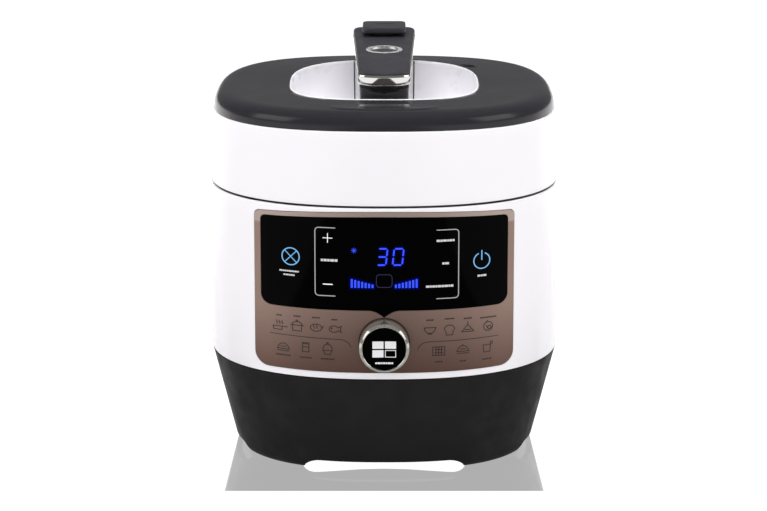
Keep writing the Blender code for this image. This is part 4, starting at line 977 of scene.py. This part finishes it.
# ------------------------------------------------------------------ lid
def rim_z(t):
    s = math.sin(t)
    return RIM_SIDE_Z + RIM_TILT * s + RIM_SADDLE * s * s


def dome_height(k, t):
    if k < SHOULDER:
        rise = SHOULDER_RISE * (1 - (1 - k / SHOULDER) ** SHOULDER_POWER) ** (1 / SHOULDER_POWER)
    else:
        rise = SHOULDER_RISE + (1 - SHOULDER_RISE) * (k - SHOULDER) / (1 - SHOULDER)
    return PANEL_Z + (rim_z(t) - PANEL_Z) * rise


def dome_plan(k):
    """Half-width, half-depth and squareness of the dome, k of the way in from its edge to the dish."""
    hole_a, hole_b, edge_b = DISH_A + 0.0006, DISH_B + 0.0006, PANEL_A * DEPTH_RATIO
    return PANEL_A + k * (hole_a - PANEL_A), edge_b + k * (hole_b - edge_b), PANEL_N + k * (DISH_N
        - PANEL_N)


def dome_ring(k, drop=0.0, spread=0.0):
    a, b, n = dome_plan(k)
    return superellipse(a - spread, b - spread, n, lambda t: dome_height(k, t) - drop, FINE,
        REAR_SQUARE * (1 - k))


def build_lid_shell():
    top = PANEL_Z - 0.0006
    points = [(0.0, LID_Z), (0.0, top), (0.0034, top), (0.0034, top - 0.0050), (WALL, top - 0.0065),
        (WALL, LID_Z)]
    profile = fillet(points, [0.0011, 0.0016, 0.0004, 0.0, 0.0, 0.0006])
    cut = next(i for i, p in enumerate(profile) if p[1] > 0.28)
    mids = [(0.0, LID_Z + 0.004 + (top - 0.006 - LID_Z) * k / 8) for k in range(0, 8)]
    rings = wall_rings(lid_wall, profile[:cut] + mids + profile[cut:])
    loft("white_lid_shell", rings, "white", "lid", ["lid_shell"], closed=True)


def build_lid_panel():
    steps = 44
    keys = [(k / steps) ** 2.6 for k in range(1, steps + 1)]
    upper = [dome_ring(0.0, 0.0022), dome_ring(0.0, 0.0004)] + [dome_ring(k) for k in keys]
    rim = [dome_ring(1.0, 0.0006, 0.0005), dome_ring(1.0, 0.0024, 0.0005)]
    under = [dome_ring(k, 0.0024) for k in (0.75, 0.50, 0.30, 0.16, 0.05)]
    under += [dome_ring(0.0, 0.0006, 0.0030), dome_ring(0.0, 0.0022, 0.0030)]
    made = loft("lid_dome", upper + rim + under, "lid", "lid", ["lid_top_panel"],
        closed=True, sharp=50.0)
    tool = bmesh.new()
    low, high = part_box("float_bushing")
    x, y = (low[0] + high[0]) / 2, (low[1] + high[1]) / 2
    add_rings(tool, [circle(0.0078, 0.29, 48, x, y), circle(0.0078, 0.34, 48, x, y)])
    carve(made, tool, sharp=50.0)


def dish_plan(scale):
    return DISH_A * scale, DISH_B * scale, DISH_N - 1.2 * (1 - scale)


def dish_ring(scale, level):
    return superellipse(*dish_plan(scale), level)


def dish_level(k, drop=0.0):
    return lambda t: DISH_FLOOR_Z + (rim_z(t) - DISH_FLOOR_Z) * k - drop


def dish_stations():
    """Scale and height share down the dish wall: rolled rim, steep wall, soft run into the floor."""
    stations = [(1.0, 1.0), (0.996, 1.012), (0.988, 1.012), (0.984, 0.995)]
    for k in range(1, 19):
        u = k / 18
        stations.append((0.984 - (0.984 - DISH_FLOOR_SCALE) * (1 - math.cos(math.pi / 2 * u)) ** 0.92,
                0.995 * (1 - math.sin(math.pi / 2 * u) ** 1.15)))
    return stations


def build_dish():
    inner = [dish_ring(s, dish_level(k)) for s, k in dish_stations()]
    inner += [dish_ring(DISH_FLOOR_SCALE * f, DISH_FLOOR_Z - 0.0004 * (1 - f))
        for f in (0.9, 0.7, 0.45, 0.2)]
    outer = [dish_ring(DISH_FLOOR_SCALE, dish_level(0.0, 0.0022)),
        dish_ring(0.93, dish_level(0.16, 0.0022)), dish_ring(0.985, dish_level(0.50, 0.001)),
        dish_ring(1.0, dish_level(0.85, 0.001))]
    loft("finger_dish", list(reversed(inner)) + list(reversed(outer)), "dish", "lid",
        ["recess_bowl"], sharp=50.0)
    dish_seams()


def dish_seams():
    """Dark joint lines down each side of the handle, across the floor and up the dish's back wall."""
    mesh = bmesh.new()
    for side in (-1, 1):
        route = []
        for k in range(14):
            y = -0.045 + 0.095 * k / 13
            route.append((y, DISH_FLOOR_Z + 0.0001))
        for s, k in reversed(dish_stations()[3:-3]):
            a, b, n = dish_plan(s)
            y = b * (1 - (SEAM_REAR_X / a) ** n) ** (1 / n)
            t = math.atan2(y, SEAM_REAR_X)
            if y > route[-1][0]:
                route.append((y, dish_level(k)(t)))
        rows = []
        for y, z in route:
            x = 0.0216 + 0.0053 * (y + 0.045) / 0.125
            lift = 0.0004
            rows.append([mesh.verts.new((side * (x + dx), y - lift * 0.7, z + dz))
                    for dx, dz in ((-0.0005, lift), (0.0005, lift), (0.0005, -0.0006),
                    (-0.0005, -0.0006))])
        for one, two in zip(rows, rows[1:]):
            for r in range(4):
                s = (r + 1) % 4
                mesh.faces.new((one[r], one[s], two[s], two[r]))
        mesh.faces.new(rows[0])
        mesh.faces.new(list(reversed(rows[-1])))
    finish("dish_joint_lines", mesh, "shadow", "lid", merge=False)


# ------------------------------------------------------------------ handle
def handle_width(y):
    k = (y - HANDLE_FRONT) / (HANDLE_BACK - HANDLE_FRONT)
    return HANDLE_FRONT_W + k * (HANDLE_BACK_W - HANDLE_FRONT_W)


def handle_plan(inset=0.0, nose_steps=24, tail_steps=8, side_steps=22):
    """Handle plan, anticlockwise from the left: elliptic nose, tapered sides, round rear corners."""
    front, back = HANDLE_FRONT + inset, HANDLE_BACK - inset
    nose, tail = HANDLE_NOSE, HANDLE_TAIL
    points = []
    half = handle_width(front + nose) - inset
    for k in range(nose_steps + 1):
        t = math.pi + math.pi * k / nose_steps
        points.append((half * math.cos(t), front + nose + nose * math.sin(t)))
    for k in range(1, side_steps):
        y = front + nose + (back - tail - front - nose) * k / side_steps
        points.append((handle_width(y) - inset, y))
    half = handle_width(back) - inset
    for sign in (1, -1):
        for k in range(tail_steps + 1):
            t = math.radians((0 if sign > 0 else 90) + 90 * k / tail_steps)
            points.append((sign * (half - tail) + tail * math.cos(t), back - tail + tail * math.sin(t)))
    for k in range(side_steps - 1, 0, -1):
        y = front + nose + (back - tail - front - nose) * k / side_steps
        points.append((-(handle_width(y) - inset), y))
    return points


def along(y, pair_front, pair_back):
    k = (y - HANDLE_FRONT) / (HANDLE_BACK - HANDLE_FRONT)
    return pair_front + (pair_back - pair_front) * min(1.0, max(0.0, k))


def band_low(y):
    return along(y, BAND_FRONT[0], BAND_BACK[0])


def band_high(y):
    return along(y, BAND_FRONT[1], BAND_BACK[1])


def cover_top(y):
    level = along(y, TOP_FRONT, TOP_BACK)
    k = min(1.0, max(0.0, (y - HANDLE_FRONT) / TOP_ROLL))
    low = BAND_FRONT[1] + 0.0008
    return low + (level - low) * math.sqrt(1 - (1 - k) ** 2)


def pillow(name, inset, base, top, roll, mat, body, replaces, flip=False, crown=0.0004):
    """Skin over the handle's plan: a wall from base, rolled over by roll to top along the middle."""
    plan = handle_plan(inset)
    spine_front, spine_back = HANDLE_FRONT + HANDLE_FRONT_W, HANDLE_BACK - HANDLE_BACK_W

    def spine(point):
        return Vector((0.0, min(max(point[1], spine_front), spine_back)))

    def reach(point):
        return (spine(point) - Vector(point)).length

    def towards(point, share):
        return Vector(point) + (spine(point) - Vector(point)) * share

    rings = [[Vector((x, y, base(y))) for x, y in plan]]
    for angle in (0, 12, 25, 38, 50, 62, 75, 90):
        a = math.radians(angle)
        ring = []
        for p in plan:
            q = towards(p, roll * (1 - math.cos(a)) / max(reach(p), roll))
            peak, foot = top(q.y), base(p[1])
            edge = roll if abs(peak - foot) > roll else abs(peak - foot) * 0.8
            rise = abs(peak - foot) - edge + edge * math.sin(a)
            ring.append(Vector((q.x, q.y, foot - rise if flip else foot + rise)))
        rings.append(ring)
    for share in (0.35, 0.5, 0.65, 0.8, 0.92, 1.0):
        ring = []
        for p in plan:
            q = towards(p, max(share, roll / max(reach(p), roll)))
            bulge = crown * (1 - (1 - share) ** 2)
            ring.append(Vector((q.x, q.y, top(q.y) - bulge if flip else top(q.y) + bulge)))
        rings.append(ring)
    mesh = bmesh.new()
    add_rings(mesh, rings, caps=False)
    first = list(mesh.verts)[: len(plan)]
    mesh.faces.new(list(reversed(first)))
    bmesh.ops.remove_doubles(mesh, verts=mesh.verts, dist=2e-5)
    bmesh.ops.dissolve_degenerate(mesh, dist=1e-6, edges=mesh.edges)
    return finish(name, mesh, mat, body, replaces, 40.0)


RING_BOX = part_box("button_ring")
RING_A, RING_B = (RING_BOX[1][0] - RING_BOX[0][0]) / 2, (RING_BOX[1][1] - RING_BOX[0][1]) / 2
BUTTON_Y = (RING_BOX[0][1] + RING_BOX[1][1]) / 2
VALVE_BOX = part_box("pressure_valve")
VALVE_Y = (VALVE_BOX[0][1] + VALVE_BOX[1][1]) / 2


def oval_tool(a, b, y, low, high, sides=64):
    mesh = bmesh.new()
    rings = [[Vector((a * p.x, b * p.y + y, p.z)) for p in circle(1.0, z, sides)] for z in (low, high)]
    add_rings(mesh, rings)
    return mesh


def build_handle():
    cover = pillow("soft_handle_cover", 0.0004, lambda y: band_high(y) + GAP, cover_top, 0.0036, "soft",
        "lid", ["handle_cover"])
    carve(cover, oval_tool(RING_A + 0.0001, RING_B + 0.0001, BUTTON_Y, 0.3383, 0.40), sharp=40.0)
    carve(cover, oval_tool(0.0118, 0.0118, VALVE_Y, 0.3460, 0.40), sharp=40.0)
    plans = {}
    rings = []
    for inset, share in ((0.0004, 0.0), (0.0, 0.06), (-0.0001, 0.25), (-0.0001, 0.75), (0.0, 0.94),
        (0.0004, 1.0), (0.0016, 1.0), (0.0018, 0.95), (0.0018, 0.05), (0.0016, 0.0)):
        plan = plans.setdefault(inset, handle_plan(inset))
        rings.append([Vector((x, y, band_low(y) + share * (band_high(y) - band_low(y))))
                for x, y in plan])
    loft("chrome_belt", rings, "chrome", "lid", ["handle_band"], closed=True, sharp=50.0)
    tray = pillow("handle_underside", 0.0012, lambda y: band_low(y) - GAP,
        lambda y: band_low(y) - 0.0058, 0.0030, "handle", "lid", ["handle_base"],
        flip=True)
    neck = bmesh.new()
    core = handle_plan(0.0021)
    add_rings(neck, [[Vector((x, y, band_low(y) - 0.0010)) for x, y in core],
            [Vector((x, y, band_high(y) - 0.0010)) for x, y in core]])
    carve(tray, neck, "UNION", 40.0)
    pillars(tray)
    carve(tray, oval_tool(RING_A + 0.0001, RING_B + 0.0001, BUTTON_Y, 0.3382, 0.40), sharp=40.0)
    carve(tray, oval_tool(0.0118, 0.0118, VALVE_Y, 0.3440, 0.40), sharp=40.0)
    build_button()
    build_valve()


def pillars(tray):
    """Front and rear legs of the handle, joined to its underside."""
    front_plan = [p for p in handle_plan(0.0014) if p[1] < -0.0535]
    left = [p for p in front_plan if p[0] < 0]
    right = [p for p in front_plan if p[0] >= 0]
    left.sort(key=lambda p: -p[1])
    right.sort(key=lambda p: p[1])
    outline = [(left[0][0], -0.0532)] + left + right + [(right[-1][0], -0.0532)]
    rings = [[Vector((x * k, y, z)) for x, y in outline]
        for k, z in ((0.96, 0.2962), (0.98, 0.3100), (1.0, 0.3270))]
    mesh = bmesh.new()
    add_rings(mesh, rings)
    carve(tray, mesh, "UNION", 40.0)
    sections = []
    for half, back, z in ((0.0200, 0.0735, 0.2992), (0.0212, 0.0764, 0.3180), (0.0225, 0.0795, 0.3370)):
        corners = fillet([(-half, 0.0470), (half, 0.0470), (half, back), (-half, back)], [0.004] * 4, 6)
        sections.append([Vector((x, y, z)) for x, y in corners])
    mesh = bmesh.new()
    add_rings(mesh, sections)
    carve(tray, mesh, "UNION", 40.0)


def build_button():
    inner = 0.84
    top = [(1.0, 0.3383), (1.0, 0.3492), (0.985, 0.3497), (0.94, 0.3499), (0.86, 0.3499),
        (0.80, 0.3497), (inner + 0.02, 0.3492), (inner, 0.3486), (inner, 0.3383)]
    ring = turned("button_surround", top, "satin", "lid", ["button_ring"], closed=True,
        sides=96, y=BUTTON_Y, scale=(RING_A, RING_B), sharp=60.0)
    tilt_top(ring)
    a, b = RING_A * inner - 0.0004, RING_B * inner - 0.0004
    rings = []
    sections = [(0.0028, 0.0028, 0.3360), (0.0028, 0.0028, 0.3426), (a, b, 0.3426), (a, b, 0.3470),
        (a * 0.97, b * 0.96, 0.3476)]
    sections += [(a * f, b * f, 0.3476 - 0.0010 * math.sin(math.pi / 2 * (1 - f) / 0.97))
        for f in (0.9, 0.75, 0.55, 0.3)]
    for x, y, z in sections:
        rings.append([Vector((x * math.cos(math.tau * i / 64),
                BUTTON_Y + y * math.sin(math.tau * i / 64), z)) for i in range(64)])
    tilt_top(loft("oval_push_button", rings, "button", "handle_button",
            ["handle_button"], sharp=50.0))


def tilt_top(made, above=0.3440):
    """Tilts what stands above a height, so that it follows the climb of the handle's top."""
    for vertex in made.data.vertices:
        if vertex.co.z > above:
            vertex.co.z += BUTTON_TILT * (vertex.co.y - BUTTON_Y)


def build_valve():
    low, high = VALVE_BOX
    half_x, half_y = high[0], (high[1] - low[1]) / 2
    z0, z1 = 0.3557, high[2]
    plan = fillet([(-half_x, -half_y), (half_x, -half_y), (half_x, half_y), (-half_x, half_y)],
        [0.0050] * 4, 10)
    rings = []
    for k, z in ((0.955, z0), (0.985, z0 + 0.0004), (1.0, z0 + 0.0012), (1.0, z1 - 0.0020),
        (0.993, z1 - 0.0010), (0.975, z1 - 0.0003), (0.94, z1), (0.7, z1), (0.4, z1)):
        rings.append([Vector((x * k, VALVE_Y + y * k, z)) for x, y in plan])
    made = loft("steam_release_block", rings, "valve", "valve", ["pressure_valve"],
        sharp=40.0)
    dent = bmesh.new()
    sections = [(0.35, z1 - 0.0011), (0.7, z1 - 0.0009), (0.92, z1 - 0.0003), (1.0, z1 + 0.0002),
        (1.3, z1 + 0.002)]
    add_rings(dent, [[Vector((0.0095 * p.x, 0.0070 * p.y + VALVE_Y + 0.002, p.z))
            for p in circle(r, z, 48)] for r, z in sections])
    carve(made, dent, sharp=40.0)
    stem = bmesh.new()
    add_rings(stem, [circle(0.0100, 0.3500, 48, 0.0, VALVE_Y),
            circle(0.0100, z0 + 0.002, 48, 0.0, VALVE_Y)])
    carve(made, stem, "UNION", 40.0)


def build_badge():
    """Blank oval plate, dished along its middle, on the lid's front slope."""
    low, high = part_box("badge_plate")
    a, b = (high[0] - low[0]) / 2, (high[1] - low[1]) / 2
    cy = (high[1] + low[1]) / 2
    sides, rows = 96, (1.0, 0.985, 0.95, 0.88, 0.7, 0.5, 0.3, 0.12)

    def surface(x, y):
        """Height of the dome under a point, found by searching for the ring that holds it."""
        t = math.atan2(y, x)
        r = math.hypot(x, y)
        lo, hi = 0.0, 1.0
        for _ in range(24):
            k = (lo + hi) / 2
            ka, kb, n = dome_plan(k)
            ring = (abs(math.cos(t) / ka) ** n + abs(math.sin(t) / kb) ** n) ** (-1 / n)
            if ring > r:
                lo = k
            else:
                hi = k
        return dome_height(k, t)

    mesh = bmesh.new()
    rings = []
    for f, lift in [(1.0, -0.0004)] + [(f, 0.0) for f in rows]:
        ring = []
        for i in range(sides):
            u = math.tau * i / sides
            x, y = a * f * math.cos(u), cy + b * f * math.sin(u)
            edge = 0.0007 * min(1.0, (1 - f) / 0.05) if lift == 0.0 else lift
            dish = 0.0005 * max(0.0, 1 - (f / 0.88) ** 2) if lift == 0.0 else 0.0
            ring.append(Vector((x, y, surface(x, y) + edge + 0.0002 - dish)))
        rings.append(ring)
    add_rings(mesh, rings)
    finish("blank_oval_plate", mesh, "badge", "lid", ["badge_plate"], 60.0)


# ------------------------------------------------------------------ under the lid and in the well
def dress(names, mat):
    """Gives carried-over CAD nodes a procedural material."""
    for name in names:
        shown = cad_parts[name]
        for index in range(len(shown.data.materials)):
            shown.material_slots[index].material = M[mat]
        if not shown.data.materials:
            shown.data.materials.append(M[mat])


def build_wells():
    pot_r, top, floor = 0.1100, 0.2300, 0.0735
    points = [(pot_r + 0.0015, floor + 0.016), (pot_r + 0.0015, top - 0.0020), (0.1165, top - 0.0020),
        (0.1165, top), (pot_r, top), (pot_r, floor + 0.016)]
    curve, wall = 0.0160, 0.0015
    turns = [math.radians(a) for a in range(0, 91, 10)]
    corner_r, corner_z = pot_r + wall - curve, floor + curve
    profile = [(0.04, floor)] + [(corner_r + curve * math.sin(t), corner_z - curve * math.cos(t))
        for t in turns]
    profile += fillet(points[1:5], [0.0006, 0.0008, 0.0008, 0.0010], 4, closed=False)
    inside = curve - wall
    profile += [(corner_r + inside * math.cos(t), corner_z - inside * math.sin(t)) for t in turns]
    profile += [(0.04, floor + wall)]
    turned("cooking_pot", profile, "coating", "body", ["inner_pot"], sides=128)
    dress(["outer_pot", "locking_flange", "locking_ring", "pressure_plate", "plate_post", "steam_guard",
            "steam_pipe", "heating_plate", "temperature_sensor", "float_valve"], "steel")
    dress(["ring_guide_1", "ring_guide_2", "ring_guide_3", "base_screw_1", "base_screw_2",
            "base_screw_3", "base_screw_4", "sensor_spring", "spring_seat"], "bolt")
    dress(["bottom_cover", "lid_liner", "display_module", "encoder_switch"], "grey")
    dress(["control_board", "power_board"], "board")
    dress(["pressure_switch"], "brass")
    dress(["transformer"], "cast")
    dress(["float_bushing"], "valve")
    a, n = SEAM_A - WALL - GAP, 2.34
    stations = [(a - inset, a * DEPTH_RATIO - inset, n, z)
        for inset, z in ((0.0, 0.2290), (0.0, 0.2348), (0.0005, 0.2352), (0.0035, 0.2352),
            (0.0045, 0.2347))]
    stations += [(0.1380, 0.1355, 2.12, 0.2327), (0.1365, 0.1345, 2.08, 0.2325),
        (0.1335, 0.1332, 2.0, 0.2325), (0.1325, 0.1323, 2.0, 0.2330), (0.1318, 0.1318, 2.0, 0.2348),
        (0.1314, 0.1314, 2.0, 0.2350), (0.1310, 0.1310, 2.0, 0.2347), (0.1310, 0.1310, 2.0, 0.2290)]
    rings = [superellipse(*s, FINE, REAR_SQUARE if s[2] > 2.2 else 0.0) for s in stations]
    loft("moulded_collar", rings, "grey", "body", ["top_collar"], closed=True)
    seal = fillet([(0.1090, 0.2304), (0.1160, 0.2304), (0.1160, 0.2322), (0.1128, 0.2330),
            (0.1128, 0.2350), (0.1090, 0.2350)], [0.0006, 0.0008, 0.0006, 0.0004, 0.0006, 0.0006], 4)
    turned("silicone_seal", seal, "silicone", "lid", ["sealing_ring"], closed=True,
        sides=128)


# ------------------------------------------------------------------ stage, lights, camera
def area(name, place, aim, size, energy, colour=(1, 1, 1), glossy=True):
    data = bpy.data.lights.new(name, "AREA")
    data.shape, data.size, data.size_y, data.energy, data.color = "RECTANGLE", size[0], size[
        1], energy, colour
    made = bpy.data.objects.new(name, data)
    made.location = place
    made.rotation_mode = "QUATERNION"
    made.rotation_quaternion = (Vector(aim) - Vector(place)).to_track_quat("-Z", "Y")
    made.visible_glossy = glossy
    bpy.context.scene.collection.objects.link(made)
    return made


def sheet(name, x0, x1, y0, y1, z):
    mesh = bmesh.new()
    mesh.faces.new([mesh.verts.new(p) for p in ((x0, y0, z), (x1, y0, z), (x1, y1, z), (x0, y1, z))])
    made = finish(name, mesh, "white", None)
    return made


def lit(name, colour, strength, metallic=0.0, base=(0.0, 0.0, 0.0), rough=0.5):
    mat, _, shader = new_material(name)
    shader.inputs["Base Color"].default_value = (*base, 1)
    shader.inputs["Emission Color"].default_value = (*colour, 1)
    shader.inputs["Emission Strength"].default_value = strength
    shader.inputs["Metallic"].default_value = metallic
    shader.inputs["Roughness"].default_value = rough
    return mat


def build_stage():
    """White table lit from within: polished strip under the product, matt white all round it."""
    edge, back, side = -0.176, 0.150, 0.60
    glow_white = lit("table_matt", (1.0, 1.0, 1.0), 1.04)
    polished = sheet("table_polished", -side, side, edge, back, 0.0)
    polished.data.materials[0] = lit("table_polished", (1.0, 1.0, 1.0), FLOOR_GLOW, 1.0,
        (FLOOR_MIRROR,) * 3, 0.05)
    for name, box in (("table_front", (-15.0, 15.0, -15.0, edge)),
        ("table_rear", (-15.0, 15.0, back, 15.0)), ("table_left", (-15.0, -side, edge, back)),
        ("table_right", (side, 15.0, edge, back))):
        part = sheet(name, *box, 0.0)
        part.data.materials[0] = glow_white
    mesh = bmesh.new()
    edge_line = [(0.0, -0.1130), (0.0200, -0.1145), (0.0400, -0.1190), (0.0550, -0.1222),
        (0.0605, -0.1222), (0.0645, -0.1190), (0.0675, -0.1130), (0.0698, -0.1050), (0.0700, 0.1150)]
    outline = [(-x, y) for x, y in reversed(edge_line[1:])] + edge_line
    mesh.faces.new([mesh.verts.new((x, y, 0.0001)) for x, y in outline])
    under = finish("table_under_product", mesh, "white", None)
    under.visible_diffuse = under.visible_glossy = False
    under.data.materials[0] = glow_white
    card = sheet("low_white_card", -1.2, 1.2, -0.16, 0.16, 0.0)
    card.rotation_euler = (math.radians(90), 0, 0)
    card.location = (0, 0.62, 0.14)
    card.data.materials[0] = lit("backdrop_glow", (1.0, 1.0, 1.0), CARD_GLOW)
    dark = sheet("dark_front_card", -0.55, 0.55, -7.0, -0.30, 0.002)
    dark.data.materials[0] = lit("dark_card", (0.03, 0.028, 0.026), 1.0)
    # Painted shade: a dark ring round the foot of the base, seen only in reflections, stands in for the
    # shade under the base.
    skirt_mesh = bmesh.new()
    add_rings(skirt_mesh, [superellipse(0.1205, 0.1125, 2.5, z) for z in (0.0004, 0.0100)], caps=False)
    skirt = finish("painted_shade_skirt", skirt_mesh, "white", None)
    skirt.data.materials[0] = lit("painted_shade_skirt", (0.012, 0.011, 0.011), 1.0)
    for hidden in (card, dark, skirt):
        hidden.visible_camera = hidden.visible_diffuse = False
        hidden.visible_shadow = hidden.visible_transmission = False


def build_world():
    world = bpy.data.worlds.new("studio")
    bpy.context.scene.world = world
    world.use_nodes = True
    tree = world.node_tree
    back = tree.nodes["Background"]
    path = tree.nodes.new("ShaderNodeLightPath")
    pick = tree.nodes.new("ShaderNodeMix")
    pick.data_type = "FLOAT"
    pick.inputs[2].default_value = 0.50
    pick.inputs[3].default_value = 0.18
    tree.links.new(path.outputs["Is Glossy Ray"], pick.inputs[0])
    tree.links.new(pick.outputs[0], back.inputs["Strength"])
    back.inputs["Color"].default_value = (0.97, 0.975, 1.0, 1)


def build_lights():
    area("overhead", (0, -0.1, 2.4), (0, 0, 0.1), (2.6, 2.2), 61.0, glossy=False)
    area("front_fill", (0, -2.6, 1.3), (0, 0, 0.18), (2.2, 1.2), 6.5, glossy=False)
    area("left_box", (-1.75, -0.75, 1.05), (0, 0, 0.25), (1.3, 1.1), 9.0)
    area("right_box", (1.75, -0.75, 1.05), (0, 0, 0.25), (1.3, 1.1), 9.0)


def build_camera():
    data = bpy.data.cameras.new("camera")
    data.sensor_width, data.lens = 36.0, 134.45
    camera = bpy.data.objects.new("camera", data)
    camera.location = (-0.0006, -2.4829, 0.7339)
    camera.rotation_euler = (math.pi / 2 - 0.226, 0, 0)
    bpy.context.scene.collection.objects.link(camera)
    bpy.context.scene.camera = camera


bpy.context.scene.view_settings.view_transform = "Standard"
build_base()
build_white_shell()
build_panel()
build_dial()
build_back()
build_lid_shell()
build_lid_panel()
build_dish()
build_handle()
build_badge()
build_wells()
build_stage()
build_world()
build_lights()
build_camera()
